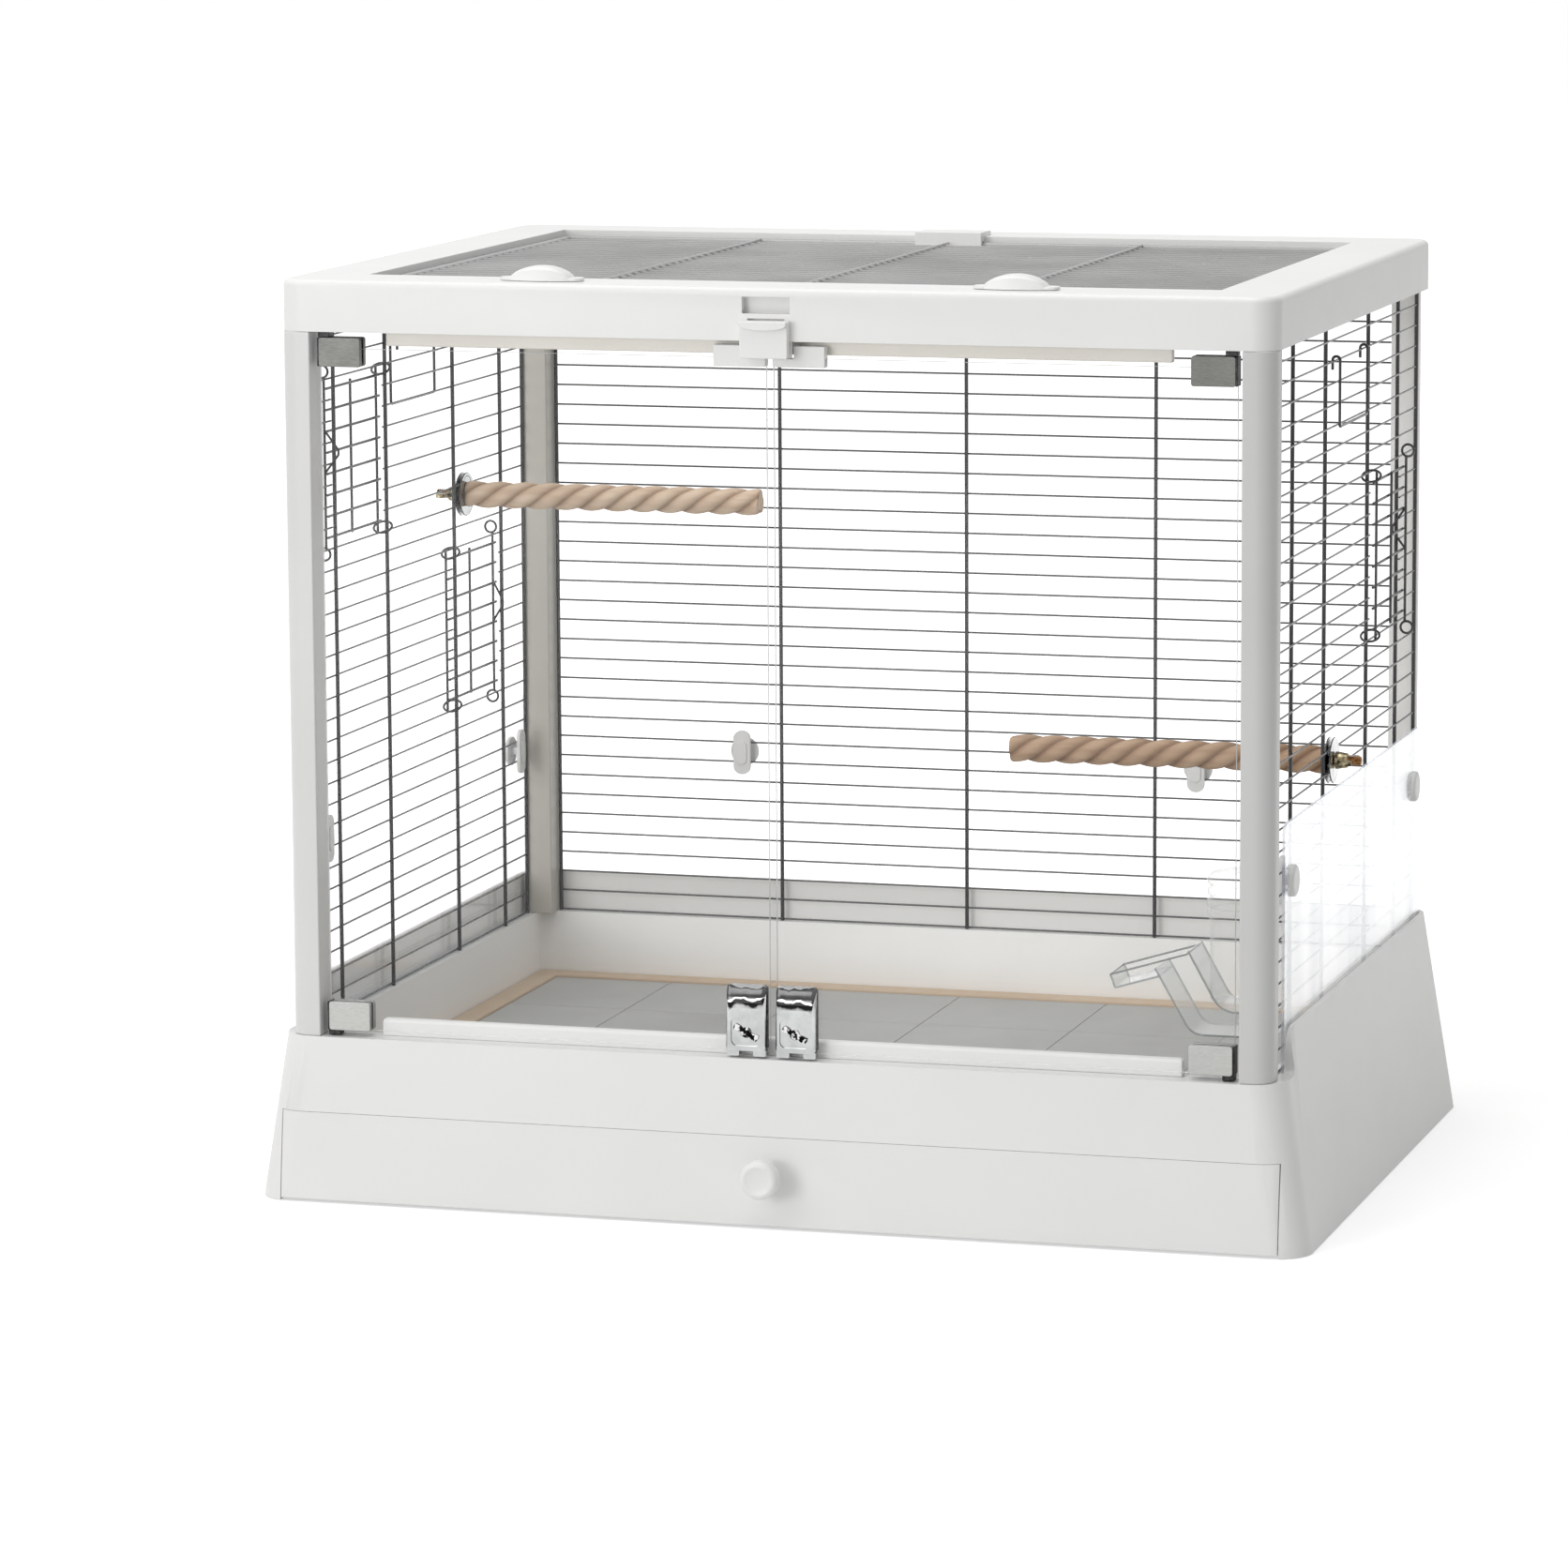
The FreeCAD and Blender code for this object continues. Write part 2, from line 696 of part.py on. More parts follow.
def drawer():
    front = new_body("drawer_face")
    base_form(front)
    wide = both(f"{HALF_W} + 1")
    deep = both(f"{HALF_D} + 1")
    above = rectangle(front, "face_above", "XY_Plane", wide, deep, "base_height + 1")
    pocket(front, above, "base_height + 1 - drawer_front_height")
    behind = rectangle(front, "face_behind", "XY_Plane", wide, (neg(DRAWER_BACK), f"{HALF_D} + 1"),
                       "drawer_front_height + 1")
    pocket(front, behind, "drawer_front_height + 2")
    below = rectangle(front, "face_below", "XY_Plane", wide, deep, "drawer_foot_gap")
    pocket(front, below, "drawer_foot_gap + 1")
    end = rectangle(front, "face_end", "XY_Plane", (DRAWER_HALF, f"{HALF_W} + 1"), deep,
                    "drawer_front_height + 1")
    both_sides(front, pocket(front, end, "drawer_front_height + 2"))
    node(front, "drawer_front")
    tray = new_body("drawer_pan")
    tray_x = f"({BAY_X} - tray_side_gap)"
    tray_y = (neg(DRAWER_BACK), f"{BAY_Y} - tray_rear_gap")
    low = "(base_sheet + loose_gap)"
    pad(tray, rectangle(tray, "pan", "XY_Plane", both(tray_x), tray_y, low), "tray_height")
    inside = rectangle(tray, "pan_inside", "XY_Plane", both(f"{tray_x} - tray_wall"),
                       (f"{tray_y[0]} + tray_wall", f"{tray_y[1]} - tray_wall"), f"{low} + tray_height")
    pocket(tray, inside, "tray_height - tray_wall")
    node(tray, "drawer_tray")
    knob = new_body("drawer_pull")
    face = f"({HALF_D} - base_flare_end * knob_height / base_height)"
    tip = f"({HALF_D} + knob_reach)"
    profile = outline(knob, "pull_profile", "XY_Plane", [
        ("0", neg(face)), ("knob_neck / 2", neg(face)), ("knob_neck / 2", f"knob_cap - {tip}"),
        ("knob_diameter / 2", f"knob_cap - {tip}"), ("knob_diameter / 2", neg(tip)), ("0", neg(tip))],
        "knob_height")
    revolve(knob, profile, "V_Axis")
    node(knob, "drawer_knob")


# Posts, sill, stop strip and top frame

def posts():
    front = new_body("front_post_form")
    pad(front, rectangle(front, "front_post_section", "XY_Plane",
                         (f"{FRONT_POST_OUT} - front_post", FRONT_POST_OUT),
                         (neg(FRAME_Y), neg(FRONT_POST_BACK)), "ledge_height"), f"{FRAME_LOW} - ledge_height")
    doc.recompute()
    bounds = front.Shape.BoundBox
    fillet(front, lambda edge: upright_edge(edge) and near(edge.BoundBox.XMax, bounds.XMax)
           and near(edge.BoundBox.YMin, bounds.YMin), "front_post_round")
    node(front, "post_front_right")
    node(mirror("front_post_mirror", front), "post_front_left")
    rear = new_body("rear_post_form")
    pad(rear, rectangle(rear, "rear_post_section", "XY_Plane", (REAR_POST_IN_X, SIDE["post"]),
                        (REAR_POST_IN_Y, BACK["post"]), "ledge_height"), f"{FRAME_LOW} - ledge_height")
    doc.recompute()
    limits = rear.Shape.BoundBox
    fillet(rear, lambda edge: upright_edge(edge) and near(edge.BoundBox.XMax, limits.XMax)
           and near(edge.BoundBox.YMax, limits.YMax), "rear_post_round")
    node(rear, "post_rear_right")
    node(mirror("rear_post_mirror", rear), "post_rear_left")


def sill_and_strip():
    sill = new_body("sill")
    pad(sill, rectangle(sill, "sill_plan", "XY_Plane", both(f"{CLAMP_X[0]} - sill_gap"),
                        (neg(SILL_FRONT), f"sill_depth - {SILL_FRONT}"), "ledge_height"), "sill_height")
    doc.recompute()
    top = sill.Shape.BoundBox.ZMax
    fillet(sill, lambda edge: level_edge(edge, top), "sill_round")
    node(sill, "front_sill")
    strip = box("strip", both(f"{CLAMP_X[0]} - strip_gap"), (neg(STRIP_FRONT), f"strip_depth - {STRIP_FRONT}"),
                (f"{FRAME_LOW} - strip_height", FRAME_LOW))
    node(strip, "door_stop_strip")


ROOF_X = f"({FRAME_X} - roof_side_rail)"
ROOF_Y = f"({FRAME_Y} - roof_end_rail)"
ROOF_SEAT = "(height_overall - roof_step)"
SLIDER_TRACK = f"({FRAME_Y} - slider_neck_depth)"
SLIDER_BACK = f"({SLIDER_TRACK} - slider_plate_depth)"


def top_frame():
    body = new_body("frame")
    outer = rectangle(body, "frame_outer", "XY_Plane", both(FRAME_X), both(FRAME_Y), FRAME_LOW)
    pad(body, outer, "frame_height")
    fillet(body, upright_edge, "frame_corner")
    doc.recompute()
    top = body.Shape.BoundBox.ZMax
    fillet(body, lambda edge: level_edge(edge, top), "frame_round")
    seat = rectangle(body, "roof_seat", "XY_Plane", both(ROOF_X), both(ROOF_Y), "height_overall")
    pocket(body, seat, "roof_step")
    pocket(body, rectangle(body, "roof_opening", "XY_Plane", both(f"{ROOF_X} - roof_ledge"),
                           both(f"{ROOF_Y} - roof_ledge"), ROOF_SEAT), "frame_height")
    side_core = rectangle(body, "side_core", "XY_Plane",
                          (f"{ROOF_X} + core_wall - roof_ledge", f"{SIDE['rod'][0]} - core_wall"),
                          both(f"{FRAME_Y} - core_end"), FRAME_LOW)
    both_sides(body, pocket(body, side_core, "core_depth", upward=True))
    end_core = rectangle(body, "end_core", "XY_Plane", both(f"{FRAME_X} - core_end"),
                         (f"{ROOF_Y} + core_wall - roof_ledge", f"{STRIP_FRONT} - strip_depth - core_wall"),
                         FRAME_LOW)
    both_sides(body, pocket(body, end_core, "core_depth", upward=True), "XZ_Plane")
    neck = rectangle(body, "track_neck", "XZ_Plane", both("slider_neck_half + slider_play"),
                     (f"{FRAME_LOW} - 1", f"{FRAME_LOW} + slider_neck_rise + slider_travel"), FRAME_Y)
    pocket(body, neck, "slider_neck_depth")
    plate = rectangle(body, "track_plate", "XZ_Plane", both("slider_plate_half + slider_play"),
                      (f"{FRAME_LOW} - 1", f"{FRAME_LOW} + slider_plate_rise + slider_travel"), SLIDER_TRACK)
    pocket(body, plate, "slider_plate_depth + slider_play")
    recess_top = "(height_overall - frame_round - recess_drop)"
    recess = rectangle(body, "finger_recess", "XZ_Plane", both("recess_half"),
                       (f"{recess_top} - recess_height", recess_top), FRAME_Y)
    pocket(body, recess, "recess_depth")
    socket = circle(body, "frame_socket", "XY_Plane", (PIVOT_X, neg(DOOR_PLANE)),
                    "pivot_diameter + 2 * pivot_gap", FRAME_LOW)
    both_sides(body, pocket(body, socket, "pivot_reach + 1", upward=True))
    dome_hole = circle(body, "dome_hole", "XY_Plane", ("dome_x", neg(DOME_Y)),
                       "dome_pin + 2 * pivot_gap", "height_overall")
    both_sides(body, pocket(body, dome_hole, "dome_pin_reach + 1"))
    node(group("rails", [common(f"{name}_rail", body, zone) for name, zone in rail_zones()]), "top_frame")


def rail_zones():
    """The side rails run the full depth; the front and rear rails fit between them."""
    inner = f"({ROOF_X} - roof_ledge)"
    outer = f"({FRAME_X} + 1)"
    reach = f"({FRAME_Y} + 1)"
    tall = (f"{FRAME_LOW} - 1", "height_overall + 1")
    return [
        ("left", box("left_rail_zone", side_span(-1, inner, outer), both(reach), tall)),
        ("right", box("right_rail_zone", side_span(1, inner, outer), both(reach), tall)),
        ("front", box("front_rail_zone", both(inner), (neg(reach), "0"), tall)),
        ("rear", box("rear_rail_zone", both(inner), ("0", reach), tall)),
    ]


# Wire walls

def side_bay(row):
    """Opening behind one hatch: the panel wires from a row upwards are cut between two rods."""
    return around(row_height(f"{row} + (hatch_bars - 2) / 2"), "wire_pitch * (hatch_bars - 1) / 2")


def side_grille(side, label, bays):
    """One side wall; bays lists each hatch opening as its middle along Y and its lowest cut row."""
    body = new_body(f"{label}_wires")
    bar_x = side_span(side, *SIDE["bar"])
    edge_x = side_span(side, *SIDE["upright"])
    rod_x = side_span(side, *SIDE["rod"])
    front_edge = (neg(FRONT_POST_BACK), f"upright - {FRONT_POST_BACK}")
    rear_edge = (f"{REAR_POST_IN_Y} - upright", REAR_POST_IN_Y)
    edge = rectangle(body, f"{label}_front_edge", "YZ_Plane", front_edge, WALL_Z, edge_x[0])
    pad(body, edge, "upright")
    bar = rectangle(body, f"{label}_bar", "YZ_Plane", (front_edge[1], rear_edge[0]),
                    ("ledge_height", "ledge_height + wire"), bar_x[0])
    repeat(body, pad(body, bar, "wire"), "Z_Axis", f"wire_pitch * ({ROWS} - 1)", ROWS)
    pad(body, rectangle(body, f"{label}_rear_edge", "YZ_Plane", rear_edge, WALL_Z, edge_x[0]), "upright")
    for number, (middle, row) in enumerate(bays):
        half = "((side_rod_far - side_rod_near - upright) / 2)"
        opening = rectangle(body, f"{label}_bay{number}", "YZ_Plane", around(middle, half), side_bay(row),
                            f"{bar_x[1]} + 1")
        pocket(body, opening, "wire + 2")
    rods = []
    for number, place_y in enumerate(("-side_rod_far", "-side_rod_near", "side_rod_near", "side_rod_far")):
        rods.append(box(f"{label}_rod{number}", rod_x, around(place_y, "upright / 2"), WALL_Z))
    node(group(f"{label}_group", [body, *rods]), label)


def back_grille():
    body = new_body("back_wires")
    edge_y = BACK["upright"]
    left_edge = (neg(REAR_POST_IN_X), f"upright - {REAR_POST_IN_X}")
    right_edge = (f"{REAR_POST_IN_X} - upright", REAR_POST_IN_X)
    level = neg(edge_y[1])
    pad(body, rectangle(body, "back_left_edge", "XZ_Plane", left_edge, WALL_Z, level), "upright")
    bar = rectangle(body, "back_bar", "XZ_Plane", (left_edge[1], right_edge[0]),
                    ("ledge_height", "ledge_height + wire"), neg(BACK["bar"][1]))
    repeat(body, pad(body, bar, "wire"), "Z_Axis", f"wire_pitch * ({ROWS} - 1)", ROWS)
    pad(body, rectangle(body, "back_right_edge", "XZ_Plane", right_edge, WALL_Z, level), "upright")
    rods = []
    for number, place_x in enumerate(("-back_rod_pitch", "0", "back_rod_pitch")):
        rods.append(box(f"back_rod{number}", around(place_x, "upright / 2"), BACK["rod"], WALL_Z))
    node(group("back_group", [body, *rods]), "back_grille")


# Hatches, their loops, and the hangers

HATCH_BAR = (f"({SIDE['bar'][1]} + hatch_gap)", f"({SIDE['bar'][1]} + hatch_gap + hatch_wire)")
HATCH_ROD = (HATCH_BAR[1], f"({HATCH_BAR[1]} + hatch_wire)")
HATCH_HALF = "((side_rod_far - side_rod_near) / 2)"


def hatch_span(row):
    """Heights of the lowest and highest bars of a hatch over the bay that starts at a row."""
    low = f"({row_height(row)} - wire_pitch / 2)"
    return low, f"({low} + wire_pitch * (hatch_bars - 1))"


def hatch(side, label, middle, row, hinge):
    """A wire hatch outside the wall; hinge is the side along Y (-1 or 1) of its turning rod."""
    body = new_body(f"{label}_wires")
    bar_x = side_span(side, *HATCH_BAR)
    rod_x = side_span(side, *HATCH_ROD)
    low, high = hatch_span(row)
    tall = (f"{low} - hatch_tail", f"{high} + hatch_tail")
    short = (f"{low} - hatch_wire / 2", f"{high} + hatch_wire / 2")
    for number, (shift, height) in enumerate(((f"-{HATCH_HALF}", tall), ("0", short), (HATCH_HALF, tall))):
        rod = rectangle(body, f"{label}_rod{number}", "YZ_Plane",
                        around(f"{middle} + {shift}", "hatch_wire / 2"), height, rod_x[0])
        pad(body, rod, "hatch_wire")
        if number == 0:
            bar = rectangle(body, f"{label}_bar", "YZ_Plane", around(middle, f"{HATCH_HALF} + hatch_wire / 2"),
                            around(low, "hatch_wire / 2"), bar_x[0])
            repeat(body, pad(body, bar, "hatch_wire"), "Z_Axis", "wire_pitch * (hatch_bars - 1)", "hatch_bars")
    free = f"({middle} - {hinge} * ({HATCH_HALF} - upright / 2 - finger_gap - hatch_wire / 2))"
    spring_z = f"({low} + wire_pitch * finger_bar)"
    finger_x = side_span(side, f"{SIDE['rod'][0]} - 1", HATCH_BAR[0])
    finger = rectangle(body, f"{label}_finger", "YZ_Plane", around(free, "hatch_wire / 2"),
                       around(spring_z, "hatch_wire / 2"), finger_x[0])
    pad(body, finger, f"({finger_x[1]}) - ({finger_x[0]})")
    node(body, label)


def hatch_loop(name, side, rod_y, height):
    """A closed loop round a wall rod and the hatch rod that turns in it."""
    reach = f"({HATCH_ROD[1]} + 2 * loose_gap)"
    half = "(upright / 2 + loose_gap)"
    outer = box(f"{name}_outer", side_span(side, f"{SIDE['rod'][0]} - loop_wire", f"{reach} + loop_wire"),
                around(rod_y, f"{half} + loop_wire"), around(height, "loop_wire / 2"))
    inner = box(f"{name}_inner", side_span(side, SIDE["rod"][0], reach), around(rod_y, half),
                around(height, "loop_wire"))
    return cut(name, outer, inner)


def hatches():
    middle = "((side_rod_near + side_rod_far) / 2)"
    plans = [
        (-1, "left_front_hatch", neg(middle), HATCH_HIGH_ROW, 1, "-side_rod_near"),
        (-1, "left_rear_hatch", middle, "hatch_low_row", -1, "side_rod_near"),
        (1, "right_rear_hatch", middle, "hatch_mid_row", -1, "side_rod_near"),
    ]
    loops = []
    for side, label, centre, row, hinge, rod_y in plans:
        hatch(side, label, centre, row, hinge)
        low, high = hatch_span(row)
        loops.append(hatch_loop(f"{label}_low_loop", side, rod_y, f"{low} - loop_rise"))
        loops.append(hatch_loop(f"{label}_high_loop", side, rod_y, f"{high} + loop_rise"))
    node(group("loops", loops), "hatch_loops")


def hanger(side, label):
    """A bent wire that hooks over one wire of the wall and hangs outside it."""
    middle = f"(({SIDE['bar'][0]} + {SIDE['bar'][1]}) / 2)"
    gap = "(wire / 2 + hanger_play)"
    leg = side_span(side, f"{middle} + {gap}", f"{middle} + {gap} + hatch_wire")
    tip = side_span(side, f"{middle} - {gap} - hatch_wire", f"{middle} - {gap}")
    across = side_span(side, f"{middle} - {gap} - hatch_wire", f"{middle} + {gap} + hatch_wire")
    axis = row_height(HANGER_ROW)
    top = (f"{axis} + {gap}", f"{axis} + {gap} + hatch_wire")
    bottom = f"({axis} - hanger_drop)"
    wide = both("hanger_half + hatch_wire / 2")
    pieces = [box(f"{label}_bar", leg, wide, (bottom, f"{bottom} + hatch_wire"))]
    for name, place_y in (("front", "-hanger_half"), ("rear", "hanger_half")):
        thick = around(place_y, "hatch_wire / 2")
        pieces.append(box(f"{label}_{name}_leg", leg, thick, (bottom, top[1])))
        pieces.append(box(f"{label}_{name}_bend", across, thick, top))
        pieces.append(box(f"{label}_{name}_tip", tip, thick, (f"{axis} - hanger_hook", top[1])))
    node(fuse(f"{label}_wire", pieces), label)


# Splash guards and their clips

CLIP_Z = row_height("right_perch_row - clip_rows_down + 0.5")
GUARD_TOP = f"({row_height('right_perch_row + 0.5')} - washer_diameter / 2 - guard_perch_gap)"
GUARD_Y = (f"({FRONT_POST_BACK} - guard_front_gap)", f"({BACK['recess']} - {RECESS_ROUND})")
GUARD_X = f"({SIDE['recess']} - {RECESS_ROUND})"
CLIP_FRONT = neg(f"{GUARD_Y[0]} - clip_inset")
CLIP_REAR = f"({GUARD_Y[1]} - clip_inset)"


def guard_sheet(label, plane, level, across, holes):
    body = new_body(f"{label}_sheet")
    face = rectangle(body, f"{label}_face", plane, across, ("ledge_height", GUARD_TOP), level)
    pad(body, face, "guard_sheet")
    doc.recompute()
    top = body.Shape.BoundBox.ZMax
    thin = sheet.guard_sheet
    fillet(body, lambda edge: level_edge(edge, top) and near(edge.Length, thin), "guard_round")
    for number, place_across in enumerate(holes):
        half = "(clip_shank / 2 + loose_gap / 2)"
        hole = rectangle(body, f"{label}_hole{number}", plane, around(place_across, half), around(CLIP_Z, half),
                         f"{level} + guard_sheet + 1")
        pocket(body, hole, "guard_sheet + 2")
    node(body, label)


def guards():
    side_y = (neg(GUARD_Y[0]), GUARD_Y[1])
    holes = (CLIP_FRONT, CLIP_REAR)
    guard_sheet("left_guard", "YZ_Plane", neg(SIDE["guard"][1]), side_y, holes)
    guard_sheet("right_guard", "YZ_Plane", SIDE["guard"][0], side_y, holes)
    guard_sheet("back_guard", "XZ_Plane", neg(BACK["guard"][1]), both(GUARD_X),
                ("-clip_back_x", "clip_back_x"))
    clips = []
    for name, x, y, turn in (
            ("left_front", neg(SIDE["bar"][0]), CLIP_FRONT, HALF_TURN),
            ("left_rear", neg(SIDE["bar"][0]), CLIP_REAR, HALF_TURN),
            ("right_front", SIDE["bar"][0], CLIP_FRONT, NO_TURN),
            ("right_rear", SIDE["bar"][0], CLIP_REAR, NO_TURN),
            ("back_left", "-clip_back_x", BACK["bar"][0], QUARTER_TURN),
            ("back_right", "clip_back_x", BACK["bar"][0], QUARTER_TURN)):
        clips.append(guard_clip(f"{name}_clip", x, y, turn))
    node(group("clips", clips), "guard_clips")


def guard_clip(name, x, y, turn):
    """A plate inside the wires, a shank between two of them and a disc outside the guard."""
    reach = f"({SIDE['guard'][1]} - {SIDE['bar'][0]} + loose_gap / 4)"
    plate = box(f"{name}_plate", ("-clip_plate_sheet", "0"), both("clip_plate_width / 2"),
                both("clip_plate_height / 2"))
    shank = box(f"{name}_shank", ("0", reach), both("clip_shank / 2"), both("clip_shank / 2"))
    disc = prism(f"{name}_disc", (reach, "0", "0"), "clip_disc / 2", "clip_disc_height", X_TURN)
    return place(fuse(name, [plate, shank, disc]), x, y, CLIP_Z, turn)


# Perches with their washers, bolts and wing nuts

WASHER_IN = (f"({SIDE['bar'][0]} - washer_sheet)", SIDE["bar"][0])
WASHER_OUT = (SIDE["bar"][1], f"({SIDE['bar'][1]} + washer_sheet)")
BOLT_HOLE = "(bolt_diameter / 2 + pivot_gap)"


def washer(name, side, place_y, place_z, span):
    low = side_span(side, *span)[0]
    disc = prism(f"{name}_disc", (low, place_y, place_z), "washer_diameter / 2", "washer_sheet", X_TURN)
    hole = prism(f"{name}_hole", (f"{low} - 1", place_y, place_z), BOLT_HOLE, "washer_sheet + 2", X_TURN)
    return cut(name, disc, hole)


def wing_nut(label, side, place_y, place_z):
    """A hub with two swept wings, turning on the bolt outside the wires."""
    hub = prism(f"{label}_hub", ("0", "0", "0"), "nut_diameter / 2", "nut_height", X_TURN)
    wings = new_body(f"{label}_wings")
    wing = outline(wings, f"{label}_wing", "XY_Plane", [
        ("nut_height * 0.2", "nut_diameter * 0.3"), ("nut_height * 0.5", "wing_radius * 0.85"),
        ("nut_height * 0.8 + wing_rise * 0.5", "wing_radius"), ("nut_height + wing_rise", "wing_radius * 0.85"),
        ("nut_height", "nut_diameter * 0.3")], "-wing_sheet / 2")
    pad(wings, wing, "wing_sheet")
    far = doc.addObject("Part::Mirroring", f"{label}_far_wing")
    far.Source = wings
    far.Normal = Vector(0, 1, 0)
    bore = prism(f"{label}_bore", ("-1", "0", "0"), BOLT_HOLE, "nut_height + wing_rise + 2", X_TURN)
    nut = cut(f"{label}_form", fuse(f"{label}_solid", [hub, wings, far]), bore)
    seat = f"({WASHER_OUT[1]} + loose_gap / 2)"
    place(nut, seat if side > 0 else neg(seat), place_y, place_z, NO_TURN if side > 0 else HALF_TURN)
    node(nut, label)


def perches():
    washers = []
    bolts = []
    for side, name, place_y, row in ((-1, "left", "left_perch_y", LEFT_PERCH_ROW),
                                     (1, "right", "-right_perch_y", "right_perch_row")):
        place_z = row_height(f"{row} + 0.5")
        seat = WASHER_IN[0]
        low, high = side_span(side, "perch_end", seat)
        dowel = cylinder(f"{name}_dowel", (low, place_y, place_z), "perch_diameter / 2", f"({high}) - ({low})",
                         X_TURN)
        node(dowel, f"perch_{name}")
        washers.append(washer(f"{name}_inner_washer", side, place_y, place_z, WASHER_IN))
        washers.append(washer(f"{name}_outer_washer", side, place_y, place_z, WASHER_OUT))
        bolt_span = side_span(side, seat, f"{SIDE['bar'][1]} + bolt_out")
        bolts.append(cylinder(f"{name}_bolt", (bolt_span[0], place_y, place_z), "bolt_diameter / 2",
                              f"({bolt_span[1]}) - ({bolt_span[0]})", X_TURN))
        wing_nut(f"wing_nut_{name}", side, place_y, place_z)
    node(group("washers", washers), "perch_washers")
    node(group("bolts", bolts), "perch_bolts")


# Waterer on the right wall

def waterer():
    top = "(trough_bottom + trough_deep)"
    wall_x = SIDE["bar"][0]
    bend_x = f"({wall_x} - trough_bend)"
    tip_x = f"({wall_x} - trough_mouth)"
    mouth_x = f"({tip_x} + trough_deep)"
    mouth_z = "(trough_mouth_z + trough_deep / 2)"
    bottle_x = f"({wall_x} - bottle_inset)"
    bend = f"({bottle_x} - bottle_diameter / 2 - collar_rib)"
    water_y = f"({FRONT_POST_BACK} - water_inset)"
    near_y = f"({water_y} - trough_half)"
    trough = new_body("trough")
    pad(trough, outline(trough, "trough_side", "XZ_Plane", [
        (wall_x, "trough_bottom"), (bend_x, "trough_bottom"), (tip_x, "trough_mouth_z"),
        (mouth_x, mouth_z), (bend, top), (wall_x, top)], near_y), "2 * trough_half")
    doc.recompute()
    limits = trough.Shape.BoundBox
    fillet(trough, lambda edge: level_edge(edge, limits.ZMin) and near(edge.BoundBox.XLength, 0)
           and edge.BoundBox.XMax < limits.XMax, "trough_round")
    thin = "trough_wall"
    pocket(trough, outline(trough, "trough_inside", "XZ_Plane", [
        (f"{wall_x} - {thin}", f"trough_bottom + {thin}"),
        (f"{bend_x} + {thin} * 2", f"trough_bottom + {thin}"),
        (f"{tip_x} + {thin}", f"trough_mouth_z + {thin}"),
        (f"{mouth_x} - {thin} + 1", f"{mouth_z} + {thin}"),
        (f"{bend} - {thin}", f"{top} - {thin}"), (f"{wall_x} - {thin}", f"{top} - {thin}")],
        f"{near_y} + 2 * trough_half - {thin}"), f"2 * (trough_half - {thin})")
    lip_x = f"({tip_x} - lip_reach)"
    lip_z = "(trough_mouth_z - lip_drop)"
    lip = outline(trough, "trough_lip", "XZ_Plane", [
        (f"{tip_x} + lip_join", "trough_mouth_z - lip_join"), (lip_x, f"{lip_z} - lip_join"),
        (lip_x, f"{lip_z} + lip_join / 2"), (f"{tip_x} + lip_join", "trough_mouth_z + lip_join")], near_y)
    pad(trough, lip, "2 * trough_half")
    node(trough, "waterer_trough")
    bottle = new_body("bottle")
    radius = "(bottle_diameter / 2)"
    inner = f"({radius} - bottle_wall)"
    profile = outline(bottle, "bottle_profile", "XZ_Plane", [
        ("0", top), (radius, top), (radius, "collar_low"), (f"{radius} + collar_rib", "collar_low"),
        (f"{radius} + collar_rib", "bottle_top"), ("0", "bottle_top"),
        ("0", "bottle_top - bottle_wall"), (inner, "bottle_top - bottle_wall"),
        (inner, f"{top} + bottle_wall"), ("0", f"{top} + bottle_wall")])
    revolve(bottle, profile, "V_Axis")
    place(bottle, bottle_x, neg(water_y), "0")
    node(bottle, "waterer_bottle")


# Front doors

DOOR_LOW = "(ledge_height + door_low_gap)"
DOOR_TOP = f"({FRAME_LOW} - door_top_gap)"
CATCH_RECESS_Z = "(ledge_height + catch_lift + catch_recess_rise)"


def right_door():
    panel = new_body("door_sheet_form")
    face = rectangle(panel, "door_face", "XZ_Plane", ("door_meet", DOOR_EDGE), (DOOR_LOW, DOOR_TOP), DOOR_BACK)
    pad(panel, face, "door_sheet")
    clamps = []
    for name, z, low_pin in (
            ("low", ("ledge_height + clamp_lift", "ledge_height + clamp_lift + clamp_height"), True),
            ("high", (f"{FRAME_LOW} - clamp_lift - clamp_height", f"{FRAME_LOW} - clamp_lift"), False)):
        clamps.append(hinge_clamp(name, z, low_pin))
    return {
        "door_panel": panel,
        "hinge_clamps": group("clamp_pair", clamps),
        "door_clip": corner_clip(),
        "catch": catch(),
    }


def hinge_clamp(name, z, low_pin):
    """A folded clamp on a door corner, with a collar and the pin the door turns on."""
    middle_y = neg(DOOR_PLANE)
    block = box(f"{name}_clamp_block", CLAMP_X, around(middle_y, "clamp_depth / 2"), z)
    slot = box(f"{name}_clamp_slot", (f"{CLAMP_X[0]} - 1", DOOR_EDGE), around(middle_y, "door_sheet / 2"),
               (DOOR_LOW, DOOR_TOP))
    pin_start = "(ledge_height - pivot_reach)" if low_pin else z[1]
    collar_start = "(ledge_height + loose_gap)" if low_pin else z[1]
    collar = box(f"{name}_collar", around(PIVOT_X, "pivot_collar / 2 - loose_gap"),
                 around(middle_y, "pivot_collar / 2"),
                 (collar_start, f"{collar_start} + clamp_lift - loose_gap"))
    pin = cylinder(f"{name}_pin", (PIVOT_X, middle_y, pin_start), "pivot_diameter / 2",
                   "clamp_lift + pivot_reach")
    return fuse(f"{name}_clamp", [cut(f"{name}_clamp_cut", block, slot), collar, pin])


